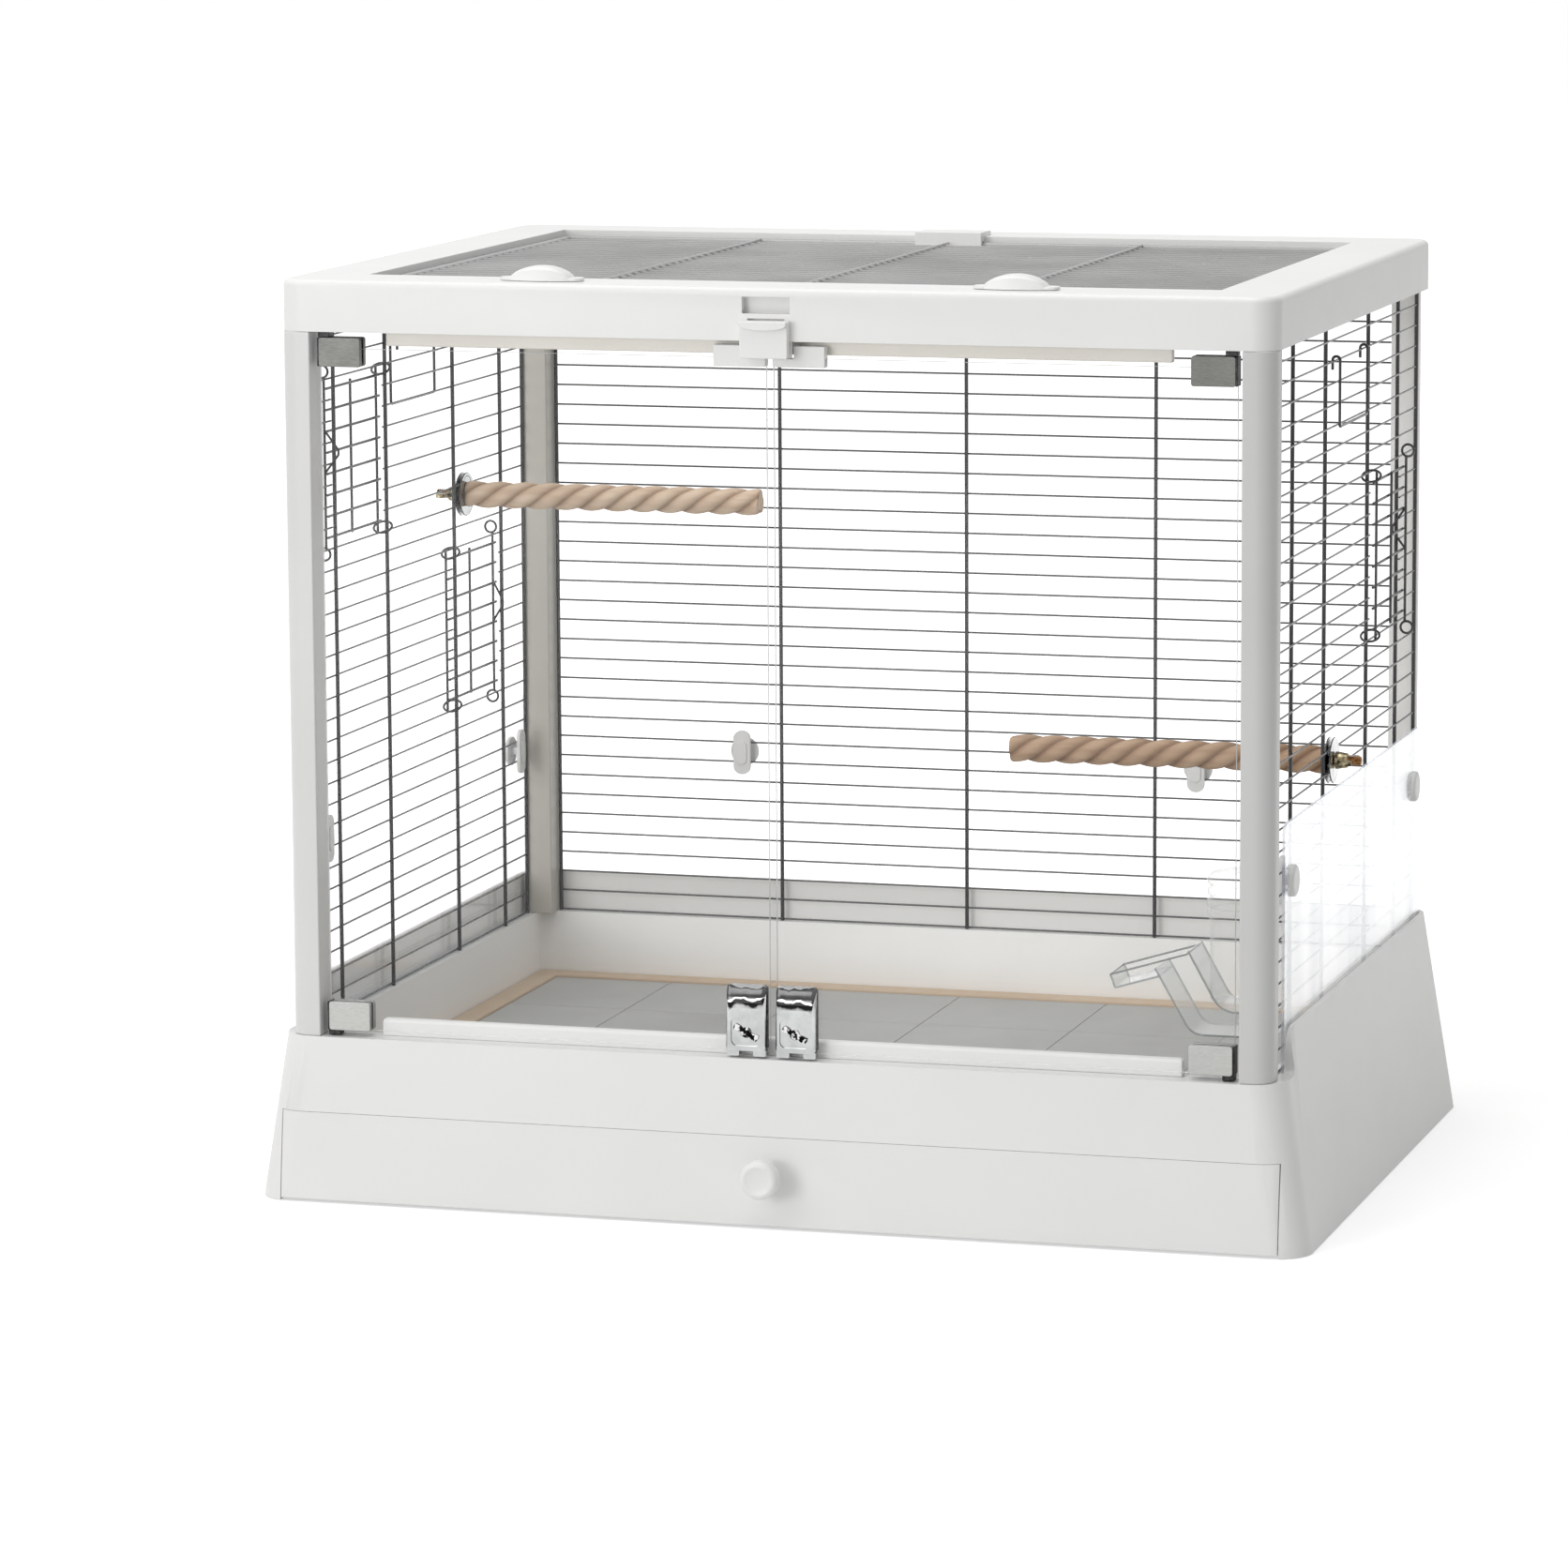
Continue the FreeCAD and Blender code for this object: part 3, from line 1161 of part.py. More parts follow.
def corner_clip():
    """A white clip over the top inner corner; it is lower beside the latch, so that the door can pass it."""
    front = (neg(f"{DOOR_FRONT} + clip_sheet"), neg(DOOR_FRONT))
    back = (neg(DOOR_BACK), neg(f"{DOOR_BACK} - clip_sheet"))
    low = f"({FRAME_LOW} - clip_low_gap)"
    high = f"({FRAME_LOW} - clip_top_gap)"
    past_latch = "(slider_plate_half + loose_gap)"
    pieces = []
    for name, deep in (("front", front), ("back", back)):
        pieces.append(box(f"clip_{name}", ("clip_start", "clip_reach"), deep, (low, DOOR_TOP)))
        pieces.append(box(f"clip_{name}_high", (past_latch, "clip_reach"), deep, (DOOR_TOP, high)))
    pieces.append(box("clip_bridge", (past_latch, "clip_reach"), (neg(DOOR_FRONT), neg(DOOR_BACK)),
                      (DOOR_TOP, high)))
    return fuse("clip_form", pieces)


def catch():
    body = new_body("catch_form")
    low = "(ledge_height + catch_lift)"
    front = f"({DOOR_FRONT} + catch_depth)"
    pad(body, rectangle(body, "catch_face", "XZ_Plane", around("catch_x", "catch_width / 2"),
                        (low, f"{low} + catch_height"), DOOR_FRONT), "catch_depth")
    doc.recompute()
    face = body.Shape.BoundBox.YMin
    fillet(body, lambda edge: near(edge.BoundBox.YMin, face) and near(edge.BoundBox.YMax, face), "catch_round")
    recess = rectangle(body, "catch_recess", "XZ_Plane", around("catch_x", "catch_recess_width / 2"),
                       around(CATCH_RECESS_Z, "catch_recess_height / 2"), front)
    pocket(body, recess, "catch_recess")
    notch = rectangle(body, "catch_notch", "XZ_Plane", around("catch_x", "catch_notch_width / 2"),
                      (f"{low} - 1", f"{low} + catch_notch_height"), front)
    pocket(body, notch, "catch_depth")
    return body


def doors():
    for name, piece in right_door().items():
        node(piece, f"right_{name}")
        node(mirror(f"left_{name}_mirror", piece), f"left_{name}")


def latch_slider():
    """The slider hangs in its track by a plate behind a neck, with a lip to push."""
    low = f"({FRAME_LOW} - slider_drop)"
    body = new_body("slider")
    face = f"({FRAME_Y} + slider_play)"
    pad(body, rectangle(body, "slider_face", "XZ_Plane", both("slider_half"),
                        (low, f"{FRAME_LOW} + slider_rise"), face), "slider_front")
    neck = rectangle(body, "slider_neck", "XZ_Plane", both("slider_neck_half"),
                     (low, f"{FRAME_LOW} + slider_neck_rise"), f"{SLIDER_TRACK} - slider_play")
    pad(body, neck, "slider_neck_depth + 2 * slider_play")
    plate = rectangle(body, "slider_plate", "XZ_Plane", both("slider_plate_half"),
                      (low, f"{FRAME_LOW} + slider_plate_rise"), SLIDER_BACK)
    pad(body, plate, "slider_plate_depth - slider_play")
    lip_top = f"({FRAME_LOW} + slider_rise)"
    lip = rectangle(body, "slider_lip", "XZ_Plane", both("slider_half"),
                    (f"{lip_top} - slider_lip_height", lip_top), f"{face} + slider_front")
    pad(body, lip, "slider_lip")
    node(body, "latch_slider")


# Wire roof lid, its hinge clips and the two turn latches

LID_X = f"({ROOF_X} - lid_gap)"
LID_Y = f"({ROOF_Y} - lid_gap)"
LID_SWING = "(lid_rod * sqrt(2) / 2)"
LID_MID = f"({ROOF_SEAT} + {LID_SWING} + loose_gap)"
LID_Z = around(LID_MID, "lid_rod / 2")
ROOF_BORE = f"({LID_SWING} + roof_bore_gap)"
LID_AXIS_Y = f"({LID_Y} - lid_rod / 2)"
LID_PITCH = f"(2 * {LID_AXIS_Y} / (lid_wires + 1))"


def roof_lid():
    body = new_body("lid_wires_form")
    pad(body, rectangle(body, "lid_border", "XY_Plane", both(LID_X), both(LID_Y), LID_Z[0]), "lid_rod")
    pocket(body, rectangle(body, "lid_open", "XY_Plane", both(f"{LID_X} - lid_rod"), both(f"{LID_Y} - lid_rod"),
                           LID_Z[1]), "lid_rod")
    first = f"({LID_PITCH} - {LID_AXIS_Y})"
    wire = rectangle(body, "lid_wire", "XY_Plane", both(f"{LID_X} - lid_rod"), around(first, "wire / 2"),
                     f"{LID_MID} - wire / 2")
    repeat(body, pad(body, wire, "wire"), "Y_Axis", f"{LID_PITCH} * (lid_wires - 1)", "lid_wires")
    bars = []
    for number, place_x in enumerate(("-lid_cross_x", "0", "lid_cross_x")):
        bars.append(box(f"lid_cross{number}", around(place_x, "wire / 2"),
                        both(f"{LID_AXIS_Y} - {LID_PITCH} + wire / 2"),
                        (f"{LID_MID} + wire / 2", f"{LID_MID} + wire / 2 + wire")))
    node(group("lid_group", [body, *bars]), "roof_lid")


def roof_clip():
    """A saddle on the middle of the rear rail, over the lid's rear rod."""
    across = both("roof_clip_half")
    top = "(height_overall + roof_clip_rise)"
    front = f"({LID_AXIS_Y} - {ROOF_BORE} - roof_clip_nose)"
    edge = f"({ROOF_Y} - loose_gap)"
    nose = box("saddle_nose", across, (front, edge), (LID_MID, top))
    sit = box("saddle_sit", across, (edge, f"{ROOF_Y} + roof_clip_sit"), ("height_overall", top))
    bore = cylinder("saddle_bore", (f"{across[0]} - 1", LID_AXIS_Y, LID_MID), ROOF_BORE,
                    "2 * roof_clip_half + 2", X_TURN)
    node(cut("saddle", fuse("saddle_form", [nose, sit]), bore), "roof_hinge_clip")


def turn_latch():
    """A domed grip on a thin foot that turns on a pin in the front rail."""
    low = "(height_overall + dome_lift)"
    radius = "((dome_length * dome_length / 4 + dome_height * dome_height) / (2 * dome_height))"
    block = box("dome_block", around("dome_x", "dome_length / 2"), around(neg(DOME_Y), "dome_width / 2"),
                (low, f"{low} + dome_height"))
    start = ("dome_x", f"-{DOME_Y} - dome_width / 2", f"{low} + dome_height - {radius}")
    barrel = cylinder("dome_barrel", start, radius, "dome_width", Y_TURN)
    dome = common("dome", block, barrel)
    foot = box("dome_foot", around("dome_x", "dome_foot_length / 2"),
               around(neg(DOME_Y), "dome_foot_width / 2"), (low, f"{low} + dome_foot_sheet"))
    pin = cylinder("dome_pin_end", ("dome_x", neg(DOME_Y), "height_overall - dome_pin_reach"), "dome_pin / 2",
                   "dome_pin_reach + dome_lift")
    return fuse("dome_latch", [dome, foot, pin])


def roof():
    roof_lid()
    roof_clip()
    latch = turn_latch()
    node(latch, "roof_latch_right")
    node(mirror("roof_latch_mirror", latch), "roof_latch_left")


base_shell()
floor()
drawer()
posts()
sill_and_strip()
top_frame()
bay_middle = "((side_rod_near + side_rod_far) / 2)"
side_grille(-1, "left_grille", [(neg(bay_middle), HATCH_HIGH_ROW), (bay_middle, "hatch_low_row")])
side_grille(1, "right_grille", [(bay_middle, "hatch_mid_row")])
back_grille()
hatches()
hanger(-1, "left_hanger")
hanger(1, "right_hanger")
guards()
perches()
waterer()
doors()
latch_slider()
roof()

doc.recompute()
failed = [obj.Name for obj in doc.Objects if "Invalid" in obj.State or "Error" in obj.State]
failed += [obj.Label for obj in nodes if obj.Shape.isNull() or not obj.Shape.isValid()]
if failed:
    raise RuntimeError(f"these objects did not build: {failed}")
os.makedirs("parts", exist_ok=True)
for obj in nodes:
    obj.Shape.exportStep(f"parts/{obj.Label}.step")
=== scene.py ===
import math

import bmesh
import bpy
from mathutils import Matrix, Vector


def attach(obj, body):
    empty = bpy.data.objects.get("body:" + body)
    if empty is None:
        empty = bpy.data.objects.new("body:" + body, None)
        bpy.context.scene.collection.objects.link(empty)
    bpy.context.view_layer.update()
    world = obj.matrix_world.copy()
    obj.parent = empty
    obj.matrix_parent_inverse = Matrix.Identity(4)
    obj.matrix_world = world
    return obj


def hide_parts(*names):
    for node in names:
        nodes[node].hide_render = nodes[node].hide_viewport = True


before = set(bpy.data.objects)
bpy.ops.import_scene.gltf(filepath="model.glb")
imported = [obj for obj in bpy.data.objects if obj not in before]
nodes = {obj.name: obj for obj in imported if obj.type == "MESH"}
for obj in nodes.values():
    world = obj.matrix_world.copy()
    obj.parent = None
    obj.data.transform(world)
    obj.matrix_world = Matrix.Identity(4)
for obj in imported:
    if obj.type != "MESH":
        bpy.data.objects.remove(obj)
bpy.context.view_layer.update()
scene = bpy.context.scene
MM = 0.001

# Places taken from the CAD, in millimetres
ROW_FIRST, ROW_PITCH, ROW_COUNT = 105.0, 13.4, 33
LEDGE_Z, FRAME_LOW_Z = 104.0, 543.0
BAR_X, BAR_Y = 307.7, 230.7
SIDE_EDGE_Y = (-216.5, 212.2)
BACK_EDGE_X = 289.2
SIDE_RODS = (-160.0, -65.0, 65.0, 160.0)
BACK_RODS = (-130.0, 0.0, 130.0)
HATCH_BAR_X, HATCH_ROD_X, HATCH_HALF = 310.1, 311.9, 47.5
HATCH_BARS, HATCH_TAIL = 8, 7.0
DOOR_Y = -229.0
LEFT_PERCH, RIGHT_PERCH = (92.0, 406.5), (-48.0, 272.5)

# Radii of the wires
BAR_R, ROD_R, LID_R, THIN_R, EYE_R, SPRING_R = 0.64, 1.3, 0.85, 0.9, 0.8, 0.75
ROD_X, ROD_Y = BAR_X - BAR_R - ROD_R, BAR_Y - BAR_R - ROD_R

# Radius of the bolt holes in washers and wing nuts
BORE_R = 3.06


def row_z(row):
    return ROW_FIRST + ROW_PITCH * row


# Materials

def material(name):
    mat = bpy.data.materials.new(name)
    mat.use_nodes = True
    tree = mat.node_tree
    return mat, tree, tree.nodes["Principled BSDF"]


def link(tree, source, target):
    tree.links.new(source, target)


def noise(tree, scale, detail=4.0, stretch=None):
    """Noise in object space; stretch squeezes it along the axes."""
    coords = tree.nodes.new("ShaderNodeTexCoord")
    texture = tree.nodes.new("ShaderNodeTexNoise")
    texture.inputs["Scale"].default_value = scale
    texture.inputs["Detail"].default_value = detail
    source = coords.outputs["Object"]
    if stretch:
        mapping = tree.nodes.new("ShaderNodeMapping")
        mapping.inputs["Scale"].default_value = stretch
        link(tree, source, mapping.inputs["Vector"])
        source = mapping.outputs["Vector"]
    link(tree, source, texture.inputs["Vector"])
    return texture.outputs["Fac"]


def ramp(tree, source, low, high, start=0.35, end=0.65):
    node = tree.nodes.new("ShaderNodeValToRGB")
    node.color_ramp.elements[0].position = start
    node.color_ramp.elements[1].position = end
    node.color_ramp.elements[0].color = (*low, 1)
    node.color_ramp.elements[1].color = (*high, 1)
    link(tree, source, node.inputs["Fac"])
    return node.outputs["Color"]


def spread(tree, source, low, high, start=0.3, end=0.7, way="LINEAR"):
    """Maps values from start to end onto values from low to high."""
    node = tree.nodes.new("ShaderNodeMapRange")
    node.interpolation_type = way
    for socket, value in (("From Min", start), ("From Max", end), ("To Min", low), ("To Max", high)):
        node.inputs[socket].default_value = value
    link(tree, source, node.inputs["Value"])
    return node.outputs["Result"]


def sums(tree, operation, *values):
    """A maths node; each value is a number or the output of a node."""
    node = tree.nodes.new("ShaderNodeMath")
    node.operation = operation
    for socket, value in zip(node.inputs, values):
        if isinstance(value, float):
            socket.default_value = value
        else:
            link(tree, value, socket)
    return node.outputs[0]


def choose(tree, choice, first, second):
    """The first shader where the choice is zero, the second where it is one."""
    node = tree.nodes.new("ShaderNodeMixShader")
    for source, socket in zip((choice, first.outputs[0], second.outputs[0]), node.inputs):
        link(tree, source, socket)
    return node.outputs[0]


def bump(tree, shader, source, strength, distance):
    node = tree.nodes.new("ShaderNodeBump")
    node.inputs["Strength"].default_value = strength
    node.inputs["Distance"].default_value = distance
    link(tree, source, node.inputs["Height"])
    link(tree, node.outputs["Normal"], shader.inputs["Normal"])


def plastic(name, low, high, rough, grain=1400.0, bump_height=0.00004, specular=0.45):
    """Moulded plastic: faint cloudy colour, fine grain and uneven gloss."""
    cloud, gloss = 9.0, 60.0
    mat, tree, shader = material(name)
    link(tree, ramp(tree, noise(tree, cloud, 3.0), low, high), shader.inputs["Base Color"])
    link(tree, spread(tree, noise(tree, gloss, 3.0), *rough), shader.inputs["Roughness"])
    bump(tree, shader, noise(tree, grain, 2.0), 0.25, bump_height)
    shader.inputs["Specular IOR Level"].default_value = specular
    return mat


def metal(name, low, high, rough, stretch=None, grain=300.0, edges=(0.35, 0.65)):
    """Metal with streaks or patches between two shades; edges set how sharply they meet."""
    mat, tree, shader = material(name)
    source = noise(tree, grain, 4.0, stretch)
    link(tree, ramp(tree, source, low, high, *edges), shader.inputs["Base Color"])
    link(tree, spread(tree, noise(tree, 45.0, 3.0), *rough), shader.inputs["Roughness"])
    bump(tree, shader, source, 0.15, 0.00002)
    shader.inputs["Metallic"].default_value = 1.0
    return mat


def clear(name, low, high, alpha, rough, mirror=1.0, power=5.0, scale=8.0, stretch=None):
    """Clear plastic: open where it is faced, and filling in with its gloss where it is seen at a slant."""
    mat, tree, shader = material(name)
    link(tree, ramp(tree, noise(tree, scale, 3.0, stretch), low, high), shader.inputs["Base Color"])
    link(tree, spread(tree, noise(tree, 30.0, 4.0), *rough), shader.inputs["Roughness"])
    slant = tree.nodes.new("ShaderNodeLayerWeight")
    slant.inputs["Blend"].default_value = 0.5
    curve = sums(tree, "POWER", slant.outputs["Facing"], power)
    link(tree, spread(tree, curve, *alpha, 0.0, 1.0), shader.inputs["Alpha"])
    shader.inputs["IOR"].default_value = 1.49
    shader.inputs["Metallic"].default_value = mirror
    return mat


def painted_reflection_bands(name, low, high, stops, warp, rough):
    """Polished metal with painted reflections: bright and dark streaks that lie level between two heights,
    bent a little by noise.
    """
    mat, tree, shader = material(name)
    coords = tree.nodes.new("ShaderNodeTexCoord")
    split = tree.nodes.new("ShaderNodeSeparateXYZ")
    link(tree, coords.outputs["Object"], split.inputs[0])
    waves = noise(tree, 110.0, 2.0, (1.0, 1.0, 0.5))
    bend = sums(tree, "MULTIPLY_ADD", waves, warp * MM, split.outputs["Z"])
    reach = spread(tree, bend, 0.0, 1.0, (low + warp / 2) * MM, (high + warp / 2) * MM)
    reflection_streaks = tree.nodes.new("ShaderNodeValToRGB")
    elements = reflection_streaks.color_ramp.elements
    for stop in stops[1:-1]:
        elements.new(stop[0])
    for element, (place, shade) in zip(elements, stops):
        element.position = place
        element.color = (shade, shade, shade * 1.01, 1)
    link(tree, reach, reflection_streaks.inputs["Fac"])
    link(tree, reflection_streaks.outputs["Color"], shader.inputs["Base Color"])
    link(tree, spread(tree, noise(tree, 60.0, 2.0), *rough), shader.inputs["Roughness"])
    shader.inputs["Metallic"].default_value = 1.0
    return mat


def wood(name, low, high):
    """Pale turned wood: grain that runs with the twist, with painted shade darkening the grooves."""
    mat, tree, shader = material(name)
    grain = noise(tree, 220.0, 6.0, (0.12, 1.0, 1.0))
    flesh = ramp(tree, grain, low, high, 0.3, 0.7)
    groove_shade = tree.nodes.new("ShaderNodeAttribute")
    groove_shade.attribute_name = "groove_shade"
    mix = tree.nodes.new("ShaderNodeMix")
    mix.data_type = "RGBA"
    mix.blend_type = "MULTIPLY"
    link(tree, groove_shade.outputs["Fac"], mix.inputs["Factor"])
    link(tree, flesh, mix.inputs[6])
    # The colour the grooves are multiplied by: painted shade.
    mix.inputs[7].default_value = (0.40, 0.30, 0.22, 1)
    link(tree, mix.outputs[2], shader.inputs["Base Color"])
    link(tree, spread(tree, grain, 0.55, 0.75), shader.inputs["Roughness"])
    bump(tree, shader, grain, 0.3, 0.0002)
    return mat


WHITE = plastic("white_plastic", (0.78, 0.78, 0.77), (0.80, 0.80, 0.79), (0.35, 0.40))
# A lighter copy of the white for the base's inside faces and the right rear post: painted light.
PAINTED_LIT_WHITE = plastic("painted_lit_white_plastic", (0.92, 0.915, 0.895), (0.945, 0.94, 0.92), (0.38, 0.44))
# The posts are a greyer white than the base. The right front post's darker copy and the left rear post's
# darker, warmer copy are painted shade.
POST = plastic("post_plastic", (0.67, 0.67, 0.66), (0.69, 0.69, 0.68), (0.34, 0.37))
SHADED_POST = plastic("painted_shade_right_post", (0.585, 0.585, 0.579), (0.605, 0.605, 0.599), (0.34, 0.37))
PAINTED_SHADE_REAR_POST = plastic("painted_shade_rear_post", (0.55, 0.526, 0.474), (0.575, 0.55, 0.496), (0.34, 0.38))
CREAM = plastic("cream_plastic", (0.76, 0.73, 0.67), (0.80, 0.775, 0.72), (0.3, 0.4))
BEIGE = plastic("beige_plastic", (0.58, 0.44, 0.31), (0.64, 0.50, 0.365), (0.45, 0.6))
BOARD = plastic("grey_board", (0.45, 0.45, 0.44), (0.50, 0.50, 0.488), (0.5, 0.65), grain=500.0,
                bump_height=0.0001, specular=0.15)
WIRE = plastic("black_wire", (0.014, 0.014, 0.015), (0.024, 0.024, 0.025), (0.2, 0.3), grain=900.0,
               specular=0.5)
# The level wall bars: a lighter copy of the black wire, with a painted highlight along their tops.
PAINTED_HIGHLIGHT_BAR = plastic("wall_bar", (0.055, 0.055, 0.055), (0.085, 0.085, 0.083), (0.2, 0.3), grain=900.0, specular=0.5)
# The roof wires: a grey copy of the black wire, a painted reflection of the bright sky on wires seen at a
# slant.
PAINTED_REFLECTION_LID = plastic("lid_wire", (0.31, 0.31, 0.306), (0.39, 0.39, 0.385), (0.18, 0.28), grain=900.0, specular=0.7)
CLEAR = clear("clear_sheet", (0.93, 0.95, 0.95), (0.97, 0.98, 0.98), (0.012, 0.9), (0.02, 0.06))
EDGE = clear("clear_edge", (0.74, 0.77, 0.77), (0.84, 0.86, 0.86), (0.85, 0.95), (0.15, 0.25), 0.0)
GUARD = clear("clear_guard", (0.92, 0.94, 0.96), (0.96, 0.97, 0.98), (0.03, 0.9), (0.03, 0.12))
# The right guard: a more filled-in, streaky copy of the guard, a painted reflection of the bright background.
PAINTED_REFLECTION_GUARD = clear("painted_reflection_guard", (0.74, 0.76, 0.78), (0.95, 0.96, 0.97), (0.08, 0.9), (0.06, 0.2), power=2.6,
                scale=45.0, stretch=(1.0, 1.0, 0.08))
GUARD_EDGE = clear("guard_edge", (0.56, 0.60, 0.80), (0.68, 0.72, 0.88), (0.35, 0.6), (0.12, 0.2), 0.0)
WATER = clear("clear_moulding", (0.70, 0.72, 0.71), (0.84, 0.86, 0.85), (0.06, 0.7), (0.03, 0.08), 0.0, 2.6)
# Dark edges of the waterer's trough: painted shade standing in for the dark outlines of its clear edges.
PAINTED_DARK_WATER_EDGE = clear("painted_dark_moulding_edge", (0.11, 0.125, 0.12), (0.22, 0.24, 0.235), (0.75, 0.95), (0.05, 0.15), 0.0)
STEEL = metal("grey_steel", (0.095, 0.095, 0.09), (0.13, 0.13, 0.123), (0.34, 0.46), (1.0, 1.0, 14.0))
# A paler copy of the steel for the lower clamps' plates: a painted reflection of the white base.
PAINTED_REFLECTION_STEEL = metal("painted_reflection_steel", (0.31, 0.31, 0.30), (0.37, 0.37, 0.36), (0.34, 0.46), (1.0, 1.0, 14.0))
STEEL_DARK = metal("dark_steel", (0.02, 0.02, 0.02), (0.05, 0.05, 0.05), (0.35, 0.5))
CHROME = metal("bright_chrome", (0.40, 0.41, 0.41), (0.48, 0.49, 0.49), (0.04, 0.09), grain=120.0)
# The catch's rolled top: level bands of painted reflection.
PAINTED_REFLECTION_CAP = painted_reflection_bands("painted_reflection_cap", 134.0, 149.0, (
    (0.0, 0.40), (0.08, 0.34), (0.14, 0.24), (0.20, 0.01), (0.38, 0.012), (0.43, 0.60),
    (0.49, 0.05), (0.66, 0.09), (0.84, 0.12), (0.91, 0.04), (0.95, 0.50), (1.0, 0.45)), 9.0, (0.04, 0.1))
# The wing screw: sharp near-black and bright patches, painted reflections.
PAINTED_REFLECTION_SPOTS = metal("painted_reflection_spots", (0.004, 0.004, 0.004), (0.62, 0.62, 0.62), (0.06, 0.14), grain=260.0,
                    edges=(0.50, 0.56))
# Near-black chrome for the catch's side walls and the washers' rims: painted dark reflections.
PAINTED_DARK_REFLECTION = metal("painted_dark_reflection_chrome", (0.02, 0.02, 0.02), (0.16, 0.16, 0.16), (0.1, 0.2), grain=260.0)
BRASS = metal("yellow_brass", (0.012, 0.009, 0.005), (0.52, 0.44, 0.28), (0.2, 0.35), grain=330.0)
STUD = metal("brown_brass", (0.10, 0.045, 0.016), (0.30, 0.15, 0.06), (0.3, 0.45), grain=420.0)
# The left perch's wood is a lighter copy, painted light, and the right perch's a darker copy, painted shade.
PAINTED_LIT_WOOD = wood("painted_lit_perch_wood", (0.62, 0.445, 0.312), (0.79, 0.63, 0.475))
PAINTED_SHADE_WOOD = wood("perch_wood", (0.38, 0.24, 0.145), (0.535, 0.366, 0.24))


# Building pieces

def finish_piece(obj, body, slot, replaced=()):
    """Puts a piece on its body; clear pieces let the light through."""
    if slot.startswith("clear"):
        obj.visible_shadow = False
        obj.visible_diffuse = False
    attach(obj, body)
    if replaced:
        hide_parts(*replaced)


def from_bmesh(bm, name, mats, smooth=35.0):
    """Turn a bmesh in millimetres into an object in metres."""
    bmesh.ops.recalc_face_normals(bm, faces=bm.faces)
    bmesh.ops.scale(bm, vec=(MM, MM, MM), verts=bm.verts)
    mesh = bpy.data.meshes.new(name)
    bm.to_mesh(mesh)
    bm.free()
    for mat in mats:
        mesh.materials.append(mat)
    obj = bpy.data.objects.new(name, mesh)
    scene.collection.objects.link(obj)
    mesh.shade_smooth()
    mesh.set_sharp_from_angle(angle=math.radians(smooth))
    return obj


def bevel(obj, width, segments=3, angle=30.0):
    mod = obj.modifiers.new("round", "BEVEL")
    mod.width = width * MM
    mod.segments = segments
    mod.limit_method = "ANGLE"
    mod.angle_limit = math.radians(angle)
    mod.harden_normals = True
    mod.use_clamp_overlap = True
    return obj


def node_mesh(node, mend=None):
    """A CAD node's faces in millimetres, with flat areas joined."""
    bm = bmesh.new()
    bm.from_mesh(nodes[node].data)
    bmesh.ops.scale(bm, vec=(1 / MM, 1 / MM, 1 / MM), verts=bm.verts)
    bmesh.ops.remove_doubles(bm, verts=bm.verts, dist=0.002)
    if mend:
        mend(bm)
    bmesh.ops.dissolve_limit(bm, angle_limit=math.radians(0.6), verts=bm.verts, edges=bm.edges)
    return bm


def rounded_node(node, name, body, slot, mats, width, segments=3, edge_test=None, mend=None):
    """A CAD node with its sharp edges rounded; faces that pass edge_test take the second material."""
    bm = node_mesh(node, mend)
    if edge_test:
        for face in bm.faces:
            face.material_index = 1 if edge_test(face) else 0
    obj = from_bmesh(bm, name, mats)
    bevel(obj, width, segments)
    finish_piece(obj, body, slot, (node,))


def ring(bm, centre, across, up, radius, sides):
    points = []
    for step in range(sides):
        turn = 2 * math.pi * step / sides
        points.append(bm.verts.new(centre + radius * (math.cos(turn) * across + math.sin(turn) * up)))
    return points


def join_rings(bm, first, second):
    count = len(first)
    for step in range(count):
        after = (step + 1) % count
        bm.faces.new((first[step], first[after], second[after], second[step]))


def tube(bm, points, radius, sides=10, closed=False):
    """A round wire along a line of points, with short tapered ends."""
    taper_length, tip_radius = radius * 0.3, radius * 0.7
    points = [Vector(point) for point in points]
    count = len(points)
    directions = []
    for index in range(count):
        if closed:
            before, after = points[index - 1], points[(index + 1) % count]
        else:
            before, after = points[max(index - 1, 0)], points[min(index + 1, count - 1)]
        directions.append((after - before).normalized())
    across = directions[0].orthogonal().normalized()
    rings = []
    for point, direction in zip(points, directions):
        across = (across - across.dot(direction) * direction).normalized()
        rings.append((point, across.copy(), direction.cross(across).normalized()))
    loops = []
    if not closed:
        start = points[0] + directions[0] * taper_length
        loops.append(ring(bm, points[0], rings[0][1], rings[0][2], tip_radius, sides))
        rings[0] = (start, rings[0][1], rings[0][2])
        end = points[-1] - directions[-1] * taper_length
        last = rings[-1]
        rings[-1] = (end, last[1], last[2])
    loops += [ring(bm, point, first, second, radius, sides) for point, first, second in rings]
    if not closed:
        loops.append(ring(bm, points[-1], last[1], last[2], tip_radius, sides))
    for first, second in zip(loops, loops[1:]):
        join_rings(bm, first, second)
    if closed:
        # the carried frame may come back turned, so match the nearest corner
        first = loops[-1]
        shift = min(range(sides), key=lambda step: (loops[0][step].co - first[0].co).length)
        join_rings(bm, first, loops[0][shift:] + loops[0][:shift])
    else:
        bm.faces.new(loops[0])
        bm.faces.new(loops[-1])


